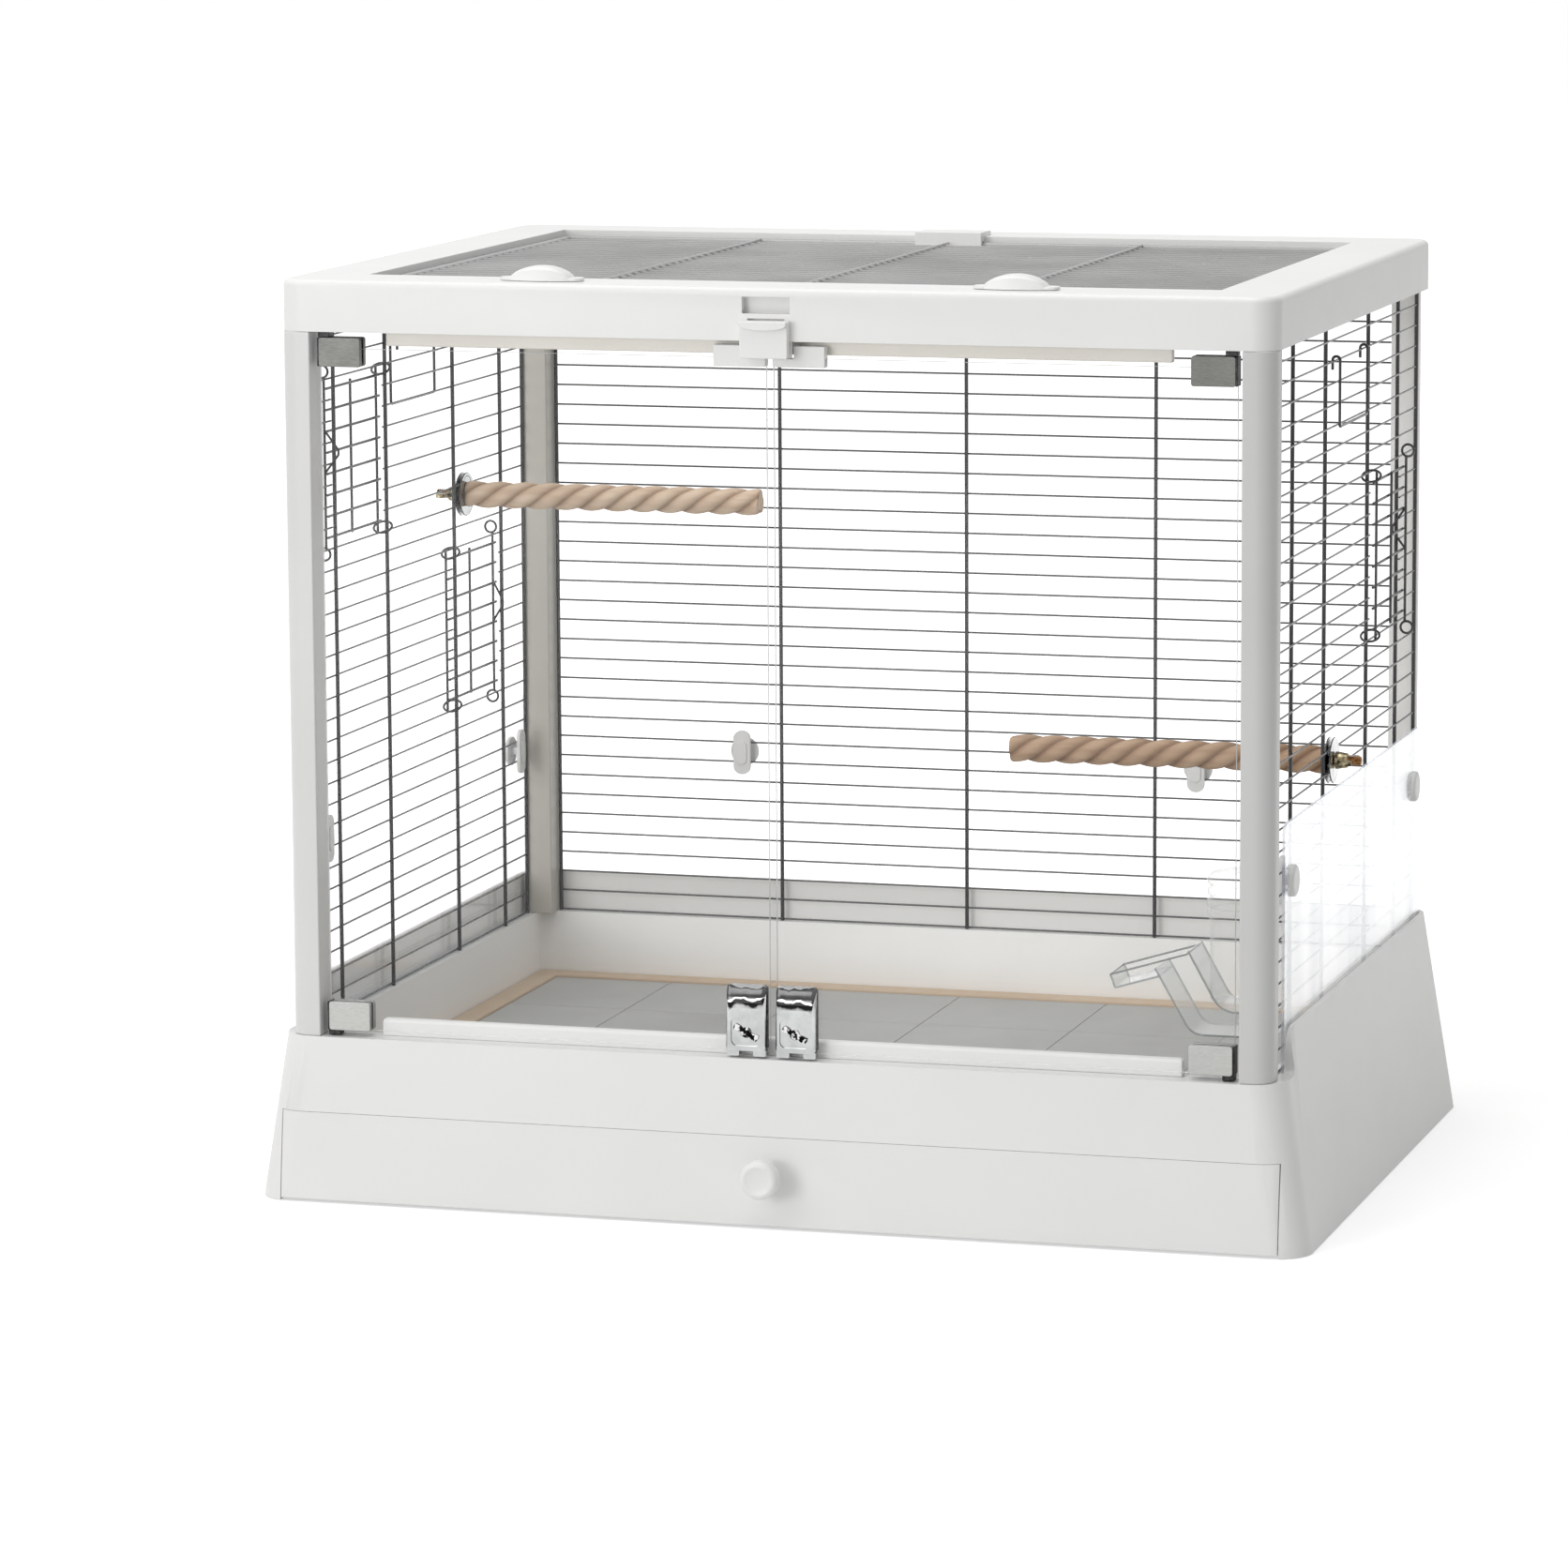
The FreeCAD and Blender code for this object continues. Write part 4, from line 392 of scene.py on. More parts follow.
def bent(points, radius, steps=6):
    """A line of points with its corners rounded; a corner takes less than half of the runs beside it."""
    most = 0.49
    points = [Vector(point) for point in points]
    line = [points[0]]
    for before, corner, after in zip(points, points[1:], points[2:]):
        to_before = (before - corner).normalized()
        to_after = (after - corner).normalized()
        half = to_before.angle(to_after) / 2
        shorter = min((before - corner).length, (after - corner).length)
        reach = min(radius / math.tan(half), shorter * most)
        real = reach * math.tan(half)
        centre = corner + (to_before + to_after).normalized() * real / math.sin(half)
        start = corner + to_before * reach
        end = corner + to_after * reach
        for step in range(steps + 1):
            share = step / steps
            point = start.lerp(end, share) - centre
            line.append(centre + point.normalized() * real)
    line.append(points[-1])
    return line


def turned(bm, profile, sides=48):
    """A shape of revolution about Z from (radius, height) points; a radius of 0 closes it."""
    across, up = Vector((1, 0, 0)), Vector((0, 1, 0))
    loops = []
    for radius, height in profile:
        if radius < 1e-6:
            loops.append([bm.verts.new((0, 0, height))])
        else:
            loops.append(ring(bm, Vector((0, 0, height)), across, up, radius, sides))
    for first, second in zip(loops, loops[1:]):
        if len(first) == 1 and len(second) == 1:
            continue
        for step in range(sides):
            after = (step + 1) % sides
            if len(first) == 1:
                bm.faces.new((first[0], second[step], second[after]))
            elif len(second) == 1:
                bm.faces.new((first[step], first[after], second[0]))
            else:
                bm.faces.new((first[step], first[after], second[after], second[step]))


def arc_profile(centre, radius, start, end, steps):
    points = []
    for step in range(steps + 1):
        turn = math.radians(start + (end - start) * step / steps)
        points.append((centre[0] + radius * math.cos(turn), centre[1] + radius * math.sin(turn)))
    return points


def put(bm, matrix):
    bmesh.ops.transform(bm, matrix=matrix, verts=bm.verts)


def merge(bm, part):
    """Adds one bmesh to another and frees it."""
    mesh = bpy.data.meshes.new("part")
    part.to_mesh(mesh)
    part.free()
    bm.from_mesh(mesh)
    bpy.data.meshes.remove(mesh)


def add_turned(bm, profile, matrix, sides=40):
    part = bmesh.new()
    turned(part, profile, sides)
    put(part, matrix)
    merge(bm, part)


def paint(bm, shade, start, end=None):
    """Gives the faces made since a count, or up to another, one of the piece's materials."""
    bm.faces.ensure_lookup_table()
    for face in bm.faces[start:end]:
        face.material_index = shade


def block(bm, low, high):
    """A box between two corners."""
    low, high = Vector(low), Vector(high)
    made = bmesh.ops.create_cube(bm, size=1.0)
    size = high - low
    matrix = Matrix.Translation((low + high) / 2) @ Matrix.Diagonal((*size, 1))
    bmesh.ops.transform(bm, matrix=matrix, verts=made["verts"])


def slab(bm, outline, low, high, axis):
    """A plate from an outline in two directions, thick along the third (0, 1 or 2)."""
    def point(pair, depth):
        values = list(pair)
        values.insert(axis, depth)
        return bm.verts.new(values)
    front = [point(pair, low) for pair in outline]
    back = [point(pair, high) for pair in outline]
    bm.faces.new(front)
    bm.faces.new(back)
    join_rings(bm, front, back)


def rounded_outline(low, high, radius, steps=6):
    """Corner points of a rectangle with round corners."""
    points = []
    corners = ((high[0], low[1], -90), (high[0], high[1], 0), (low[0], high[1], 90), (low[0], low[1], 180))
    for x, y, start in corners:
        centre = (x - radius if x == high[0] else x + radius, y - radius if y == high[1] else y + radius)
        points += arc_profile(centre, radius, start, start + 90, steps)
    return points


# Camera at the photo's angle

CAMERA_PLACE = Vector((1.1485, -4.0823, 0.9039))
CAMERA_LENS, SENSOR = 153.84, 36.0
YAW, PITCH, ROLL = (math.radians(turn) for turn in (16.50, 8.92, -0.32))
forward = Vector((-math.sin(YAW) * math.cos(PITCH), math.cos(YAW) * math.cos(PITCH), -math.sin(PITCH)))
level = Vector((math.cos(YAW), math.sin(YAW), 0))
upright = level.cross(forward)
side = math.cos(ROLL) * level + math.sin(ROLL) * upright
above = side.cross(forward)
camera = bpy.data.objects.new("camera", bpy.data.cameras.new("camera"))
camera.data.lens = CAMERA_LENS
camera.data.sensor_width = SENSOR
camera.data.clip_end = 50
turn_matrix = Matrix((side, above, -forward)).transposed().to_4x4()
camera.matrix_world = Matrix.Translation(CAMERA_PLACE) @ turn_matrix
scene.collection.objects.link(camera)
scene.camera = camera
scene.view_settings.view_transform = "Standard"


# Light, background and floor

def seen_rays(tree):
    """One for camera, mirror and see-through rays, zero for the light that falls on things."""
    rays = tree.nodes.new("ShaderNodeLightPath").outputs
    seen = sums(tree, "MAXIMUM", rays["Is Camera Ray"], rays["Is Glossy Ray"])
    return sums(tree, "MAXIMUM", seen, rays["Is Transmission Ray"])


AMBIENT = 0.40
world = bpy.data.worlds.new("studio")
scene.world = world
world.use_nodes = True
sky = world.node_tree
soft = sky.nodes["Background"]
soft.inputs["Color"].default_value = (1.0, 1.0, 0.995, 1)
soft.inputs["Strength"].default_value = AMBIENT
plain = sky.nodes.new("ShaderNodeBackground")
plain.inputs["Color"].default_value = (1, 1, 1, 1)
plain.inputs["Strength"].default_value = 1.0
link(sky, choose(sky, seen_rays(sky), soft, plain), sky.nodes["World Output"].inputs["Surface"])


def area_light(name, place, target, size, power):
    data = bpy.data.lights.new(name, "AREA")
    data.shape = "RECTANGLE"
    data.size, data.size_y = size
    data.energy = power
    obj = bpy.data.objects.new(name, data)
    obj.location = place
    obj.rotation_euler = (Vector(target) - Vector(place)).to_track_quat("-Z", "Y").to_euler()
    scene.collection.objects.link(obj)
    obj.visible_camera = False


area_light("key", (-2.1, -2.9, 2.3), (-0.1, 0, 0.25), (2.4, 1.6), 28)
area_light("fill", (-1.6, -4.0, 0.85), (-0.1, 0, 0.25), (1.8, 1.1), 38)
area_light("top", (-0.2, -0.3, 3.0), (0, 0, 0.2), (2.6, 2.2), 44)

# The floor glows where it is seen, less near the cage than far off, so that the shadow shows
FLOOR_HALF, FLOOR_DROP = 12.0, -0.0006
NEAR, FAR = 0.45, 1.4
NEAR_GLOW, FAR_GLOW = 0.48, 0.90
floor_mesh = bpy.data.meshes.new("floor")
floor_mesh.from_pydata([(-FLOOR_HALF, -FLOOR_HALF, FLOOR_DROP), (FLOOR_HALF, -FLOOR_HALF, FLOOR_DROP),
                        (FLOOR_HALF, FLOOR_HALF, FLOOR_DROP), (-FLOOR_HALF, FLOOR_HALF, FLOOR_DROP)],
                       [], [(0, 1, 2, 3)])
floor = bpy.data.objects.new("floor", floor_mesh)
scene.collection.objects.link(floor)
floor_mat, floor_tree, floor_shader = material("floor_paper")
link(floor_tree, ramp(floor_tree, noise(floor_tree, 2.0), (0.78, 0.78, 0.775), (0.80, 0.80, 0.797)),
     floor_shader.inputs["Base Color"])
floor_shader.inputs["Roughness"].default_value = 1.0
floor_shader.inputs["Specular IOR Level"].default_value = 0.0
glow = floor_tree.nodes.new("ShaderNodeEmission")
floor_coords = floor_tree.nodes.new("ShaderNodeTexCoord")
distance = floor_tree.nodes.new("ShaderNodeVectorMath")
distance.operation = "LENGTH"
link(floor_tree, floor_coords.outputs["Object"], distance.inputs[0])
fade = spread(floor_tree, distance.outputs["Value"], NEAR_GLOW, FAR_GLOW, NEAR, FAR, "SMOOTHSTEP")
link(floor_tree, fade, glow.inputs["Strength"])
dark = floor_tree.nodes.new("ShaderNodeEmission")
dark.inputs["Strength"].default_value = 0.0
total = floor_tree.nodes.new("ShaderNodeAddShader")
link(floor_tree, floor_shader.outputs[0], total.inputs[0])
link(floor_tree, choose(floor_tree, seen_rays(floor_tree), dark, glow), total.inputs[1])
link(floor_tree, total.outputs[0], floor_tree.nodes["Material Output"].inputs["Surface"])
floor_mesh.materials.append(floor_mat)


# Base, floor, drawer and frame: CAD shapes with moulded edges

def one_frame(bm):
    """Joins the frame's four rails: the faces where they butt are taken out."""
    inner_x, inner_y = 262.0, 185.0
    for place in (-inner_y, inner_y):
        whole = list(bm.verts) + list(bm.edges) + list(bm.faces)
        bmesh.ops.bisect_plane(bm, geom=whole, plane_co=(0, place, 0), plane_no=(0, 1, 0), dist=0.001)
    butts = []
    for face in bm.faces:
        middle = face.calc_center_median()
        if abs(face.normal.x) > 0.99 and abs(abs(middle.x) - inner_x) < 0.01 and abs(middle.y) > inner_y:
            butts.append(face)
    bmesh.ops.delete(bm, geom=butts, context="FACES")
    bmesh.ops.remove_doubles(bm, verts=bm.verts, dist=0.01)


def faces_in(face):
    """True for the faces of the base that look into the cage, above its floor shelf; they take the lighter
    white, which is painted light.
    """
    shelf_z, lean = 57.0, 0.3
    middle = face.calc_center_median()
    return middle.z > shelf_z and face.normal.xy.dot(middle.xy) < -lean * middle.xy.length


def close_seam(bm):
    """Brings the drawer's top edge up to a hairline under the base."""
    lift = 0.35
    top = max(vert.co.z for vert in bm.verts)
    for vert in bm.verts:
        if vert.co.z > top - 0.01:
            vert.co.z += lift


# The base's faces that look into the cage take the lighter white: painted light.
rounded_node("base_shell", "base_moulding", "cage", "white_plastic", [WHITE, PAINTED_LIT_WHITE], 0.35, 2, faces_in)
rounded_node("drawer_front", "drawer_face", "drawer", "white_plastic", [WHITE], 0.2, 2, mend=close_seam)
rounded_node("drawer_tray", "drawer_pan", "drawer", "white_plastic", [WHITE], 0.9)
rounded_node("top_frame", "roof_frame", "cage", "white_plastic", [WHITE], 1.2, mend=one_frame)
rounded_node("front_sill", "sill_bar", "cage", "white_plastic", [WHITE], 0.8)
rounded_node("door_stop_strip", "stop_strip", "cage", "cream_plastic", [CREAM], 0.9)
rounded_node("floor_rim", "floor_frame", "cage", "beige_plastic", [BEIGE], 1.2)
rounded_node("floor_panel", "floor_board", "cage", "grey_board", [BOARD], 0.25, 1)
rounded_node("roof_hinge_clip", "roof_saddle", "cage", "white_plastic", [WHITE], 1.0)
# The right front and left rear posts take painted shade, and the right rear post takes painted light.
for name in ("right", "left"):
    rounded_node(f"post_front_{name}", f"front_post_{name}", "cage", "white_plastic",
                 [SHADED_POST if name == "right" else POST], 1.0)
    rounded_node(f"post_rear_{name}", f"rear_post_{name}", "cage", "white_plastic",
                 [PAINTED_LIT_WHITE if name == "right" else PAINTED_SHADE_REAR_POST], 1.0)


def drawer_knob():
    """A round pull with a soft rim and a shallow dished face."""
    radius, reach, neck, cap, soft_edge, under_edge = 12.0, 22.0, 5.5, 11.0, 3.4, 2.0
    front_y, middle_z = -245.0, 34.0
    bm = bmesh.new()
    profile = [(0.0, reach - 0.8), (radius * 0.45, reach - 0.7), (radius * 0.66, reach - 0.3)]
    profile += arc_profile((radius - soft_edge, reach - soft_edge), soft_edge, 90, 0, 8)
    profile += arc_profile((radius - under_edge, reach - cap + under_edge), under_edge, 0, -90, 5)
    profile += [(neck + 1.5, reach - cap), (neck, reach - cap - 1.5), (neck, -4.0)]
    turned(bm, profile)
    put(bm, Matrix.Translation((0, front_y, middle_z)) @ Matrix.Rotation(math.radians(90), 4, "X"))
    bmesh.ops.contextual_create(bm, geom=[edge for edge in bm.edges if edge.is_boundary])
    obj = from_bmesh(bm, "drawer_pull", [WHITE])
    finish_piece(obj, "drawer", "white_plastic", ("drawer_knob",))


drawer_knob()


# Wire walls

def wall_point(wall, across, height, depth):
    """A place in a wall: along it, up, and out from the cage's middle."""
    if wall == "back":
        return (across, depth, height)
    return (depth if wall == "right" else -depth, across, height)


def wall_bar(bm, wall, span, height, depth, radius):
    """A level wire in a wall."""
    tube(bm, [wall_point(wall, place, height, depth) for place in span], radius, 8)


def wall_upright(bm, wall, place, span, depth, radius, sides):
    """An upright wire in a wall."""
    tube(bm, [wall_point(wall, place, height, depth) for height in span], radius, sides)


def wall_wires(wall, edges, rods, bays, bar_depth, rod_depth):
    """Bars and uprights of one wall; bays are (low, high, first row, last row) left open behind a hatch."""
    bm = bmesh.new()
    for row in range(ROW_COUNT):
        spans = [edges]
        for low, high, first, last in bays:
            if first <= row <= last:
                start, end = spans.pop()
                pieces = [(start, low), (high, end)]
                spans += [piece for piece in pieces if piece[1] > piece[0]]
        for span in spans:
            wall_bar(bm, wall, span, row_z(row), bar_depth, BAR_R)
    # Level bars take the lighter copy of the wire: a painted highlight.
    for face in bm.faces:
        face.material_index = 1
    uprights = [(place, bar_depth) for place in edges] + [(place, rod_depth) for place in rods]
    for place, depth in uprights:
        wall_upright(bm, wall, place, (LEDGE_Z, FRAME_LOW_Z), depth, ROD_R, 10)
    return from_bmesh(bm, f"{wall}_wires", [WIRE, PAINTED_HIGHLIGHT_BAR])


HATCH_LOW, HATCH_MID, HATCH_HIGH = 13, 18, 23
CUT_ROWS = HATCH_BARS - 2
rear_bay = (SIDE_RODS[2], SIDE_RODS[3])
front_bay = (SIDE_RODS[0], SIDE_RODS[1])
left_bays = [(*front_bay, HATCH_HIGH, HATCH_HIGH + CUT_ROWS), (*rear_bay, HATCH_LOW, HATCH_LOW + CUT_ROWS)]
right_bays = [(*rear_bay, HATCH_MID, HATCH_MID + CUT_ROWS)]
finish_piece(wall_wires("left", SIDE_EDGE_Y, SIDE_RODS, left_bays, BAR_X, ROD_X),
             "cage", "dark_wire", ("left_grille",))
finish_piece(wall_wires("right", SIDE_EDGE_Y, SIDE_RODS, right_bays, BAR_X, ROD_X),
             "cage", "dark_wire", ("right_grille",))
finish_piece(wall_wires("back", (-BACK_EDGE_X, BACK_EDGE_X), BACK_RODS, [], BAR_Y, ROD_Y),
             "cage", "dark_wire", ("back_grille",))


# Hatches, their loops and the hangers

def eye(bm, wall, centre, half_depth, half_along, half_height):
    """A closed wire ring; its plane leans by its run along the wall and its height."""
    along, height, depth = centre
    points = []
    steps = 24
    for step in range(steps):
        turn = 2 * math.pi * step / steps
        run, rise = half_along * math.sin(turn), half_height * math.sin(turn)
        points.append(wall_point(wall, along + run, height + rise, depth + half_depth * math.cos(turn)))
    tube(bm, points, EYE_R, 8, closed=True)


def hatch(wall, name, middle, row, hinge):
    """A wire hatch with a V-shaped spring at its free side and open eyes at that side's ends."""
    bm = bmesh.new()
    low = row_z(row) - ROW_PITCH / 2
    high = low + ROW_PITCH * (HATCH_BARS - 1)
    width = (middle - HATCH_HALF - THIN_R, middle + HATCH_HALF + THIN_R)
    for bar in range(HATCH_BARS):
        wall_bar(bm, wall, width, low + ROW_PITCH * bar, HATCH_BAR_X, THIN_R)
    free = middle - hinge * HATCH_HALF
    for place, tail in ((middle + hinge * HATCH_HALF, HATCH_TAIL), (middle, 2.0), (free, HATCH_TAIL)):
        wall_upright(bm, wall, place, (low - tail, high + tail), HATCH_ROD_X, THIN_R, 8)
    eye_half, eye_drop = 3.9, 3.6
    for height in (low - HATCH_TAIL - eye_drop, high + HATCH_TAIL + eye_drop):
        eye(bm, wall, (free, height, HATCH_ROD_X + 1.2), eye_half, 0.0, eye_half)
    spring_z, spring_x, spring_in = low + ROW_PITCH * 4, 303.9, 3.1
    inner = free + hinge * spring_in
    spring = ((free, 14.0, HATCH_ROD_X), (inner, 1.5, spring_x), (inner, -1.5, spring_x),
              (free, -13.0, HATCH_ROD_X))
    points = [wall_point(wall, place, spring_z + rise, depth) for place, rise, depth in spring]
    tube(bm, bent(points, 1.6, 4), SPRING_R, 8)
    obj = from_bmesh(bm, f"{name}_wires", [WIRE])
    finish_piece(obj, name, "dark_wire", (name,))
    return low, high


def hatches():
    middle = (SIDE_RODS[2] + SIDE_RODS[3]) / 2
    loop_drop, loop_x, loop_size = 4.0, 308.5, (6.0, 4.6, 3.2)
    loops = bmesh.new()
    for wall, name, centre, row, hinge in (("left", "left_front_hatch", -middle, HATCH_HIGH, 1),
                                           ("left", "left_rear_hatch", middle, HATCH_LOW, -1),
                                           ("right", "right_rear_hatch", middle, HATCH_MID, -1)):
        low, high = hatch(wall, name, centre, row, hinge)
        rod = centre + hinge * HATCH_HALF
        for height in (low - loop_drop, high + loop_drop):
            eye(loops, wall, (rod, height, loop_x), *loop_size)
    finish_piece(from_bmesh(loops, "hatch_eyes", [WIRE]), "cage", "dark_wire", ("hatch_loops",))


hatches()


def hanger(wall):
    """One bent wire: two hooks over a wall wire, two legs and the bar below."""
    half, drop, reach, hook, row = 42.0, 42.0, 2.35, 6.0, 31
    axis = row_z(row)
    top, bottom = axis + reach, axis - drop + THIN_R
    inside, outside = BAR_X - reach, BAR_X + reach
    leg = [(axis - hook, inside), (top, inside), (top, outside), (bottom, outside)]
    path = [wall_point(wall, -half, height, depth) for height, depth in leg]
    path += [wall_point(wall, half, height, depth) for height, depth in reversed(leg)]
    bm = bmesh.new()
    tube(bm, bent(path, 2.2, 6), THIN_R, 10)
    name = f"{wall}_hanger"
    finish_piece(from_bmesh(bm, f"{name}_wire", [WIRE]), name, "dark_wire", (name,))


hanger("left")
hanger("right")


# Roof lid of wire

def roof_lid():
    half_x, half_y, mid_z, border_r = 265.0, 188.0, 569.228, 2.0
    wires, cross = 26, (-130.0, 0.0, 130.0)
    pitch = 2 * half_y / (wires + 1)
    bm = bmesh.new()
    front = (0, -half_y, mid_z)
    corners = ((half_x, -half_y), (half_x, half_y), (-half_x, half_y), (-half_x, -half_y))
    border = bent([front] + [(x, y, mid_z) for x, y in corners] + [front], 4.0, 6)
    tube(bm, border[:-1], border_r, 12, closed=True)
    for wire in range(1, wires + 1):
        place = -half_y + pitch * wire
        tube(bm, [(-half_x, place, mid_z), (half_x, place, mid_z)], LID_R, 8)
    for place in cross:
        tube(bm, [(place, -half_y, mid_z + 2 * LID_R), (place, half_y, mid_z + 2 * LID_R)], LID_R, 8)
    finish_piece(from_bmesh(bm, "lid_wires", [PAINTED_REFLECTION_LID]), "roof", "dark_wire", ("roof_lid",))


roof_lid()


# Clear doors, guards and their clips

def thin_side(axis):
    """True for faces round the rim of a sheet that is thin along the axis."""
    return lambda face: abs(face.normal[axis]) < 0.5


for name in ("right", "left"):
    rounded_node(f"{name}_door_panel", f"{name}_door_sheet", f"{name}_door", "clear_sheet", [CLEAR, EDGE],
                 0.4, 2, thin_side(1))
    # The right guard takes the filled-in copy: painted reflection.
    rounded_node(f"{name}_guard", f"{name}_guard_sheet", "cage", "clear_sheet",
                 [PAINTED_REFLECTION_GUARD if name == "right" else GUARD, GUARD_EDGE], 0.3, 2, thin_side(0))
rounded_node("back_guard", "back_guard_sheet", "cage", "clear_sheet", [GUARD, GUARD_EDGE], 0.3, 2,
             thin_side(1))


def guard_clips():
    """White buttons: an oblong plate inside the wires and a domed disc outside the guard."""
    disc_radius, disc_height, out, row = 10.0, 3.0, 5.0, 8.5
    plate = ((6.0, 15.0), 5.5, 6, -2.4, 0.0)
    pad = ((3.6, 8.0), 3.4, 6, -3.4, -2.3)
    stem = ((2.5, 2.5), 0.8, 3, -0.1, out + 0.1)
    height = row_z(row)
    side_x, front_y, rear_y, back_x, back_y = 306.7, -180.0, 196.0, 158.0, 229.7
    places = [(-side_x, front_y, 180.0), (-side_x, rear_y, 180.0), (side_x, front_y, 0.0),
              (side_x, rear_y, 0.0), (-back_x, back_y, 90.0), (back_x, back_y, 90.0)]
    clips = bmesh.new()
    for x, y, turn in places:
        bm = bmesh.new()
        profile = [(0.0, disc_height), (disc_radius * 0.5, disc_height - 0.15)]
        profile += arc_profile((disc_radius - 2.0, disc_height - 2.0), 1.9, 90, 0, 6)
        profile += [(disc_radius - 0.1, 0.0), (0.0, 0.0)]
        turned(bm, profile, 32)
        put(bm, Matrix.Translation((out, 0, 0)) @ Matrix.Rotation(math.radians(90), 4, "Y"))
        for half, corner, steps, inner, outer in (plate, pad, stem):
            slab(bm, rounded_outline((-half[0], -half[1]), half, corner, steps), inner, outer, 0)
        put(bm, Matrix.Translation((x, y, height)) @ Matrix.Rotation(math.radians(turn), 4, "Z"))
        merge(clips, bm)
    obj = bevel(from_bmesh(clips, "guard_buttons", [WHITE]), 0.35, 2)
    finish_piece(obj, "cage", "white_plastic", ("guard_clips",))


guard_clips()


# Door fittings

def mirrored(bm, side_sign):
    if side_sign < 0:
        put(bm, Matrix.Diagonal((-1, 1, 1, 1)))


def hinge_clamps(side_sign, name):
    """Folded steel clamps: plates in front and behind, a dark fold at the edge, a collar and a pin."""
    inner, outer, fold, fold_y, inset = 260.4, 288.4, 1.2, (-234.2, -223.8), 0.2
    plates = ((-234.5, -230.7), (-227.3, -223.5))
    collar_x, collar_y, collar_height = (280.9, 288.1), (-233.0, -225.0), 3.2
    pin_x, pin_radius, pin_soft = 284.5, 3.0, 0.5
    bm = bmesh.new()
    # The lower clamps' plates take the paler steel, a painted reflection of the white base.
    for low, high, pin_low, pin_high, collar, shade in ((107.6, 125.6, 99.0, 107.6, 104.4, 2),
                                                        (521.4, 539.4, 539.4, 548.0, 539.4, 0)):
        first = len(bm.faces)
        for front, back in plates:
            slab(bm, rounded_outline((inner, low), (outer - 1.0, high), 1.6, 4), front, back, 1)
        paint(bm, shade, first)
        first = len(bm.faces)
        block(bm, (outer - fold, fold_y[0], low + inset), (outer, fold_y[1], high - inset))
        block(bm, (collar_x[0], collar_y[0], collar), (collar_x[1], collar_y[1], collar + collar_height))
        profile = [(0.0, pin_low), (pin_radius - pin_soft, pin_low), (pin_radius, pin_low + pin_soft),
                   (pin_radius, pin_high - pin_soft), (pin_radius - pin_soft, pin_high), (0.0, pin_high)]
        add_turned(bm, profile, Matrix.Translation((pin_x, DOOR_Y, 0)), 24)
        paint(bm, 1, first)
    mirrored(bm, side_sign)
    obj = bevel(from_bmesh(bm, f"{name}_clamp_pair", [STEEL, STEEL_DARK, PAINTED_REFLECTION_STEEL]), 0.45, 2)
    finish_piece(obj, f"{name}_door", "grey_steel", (f"{name}_hinge_clamps",))


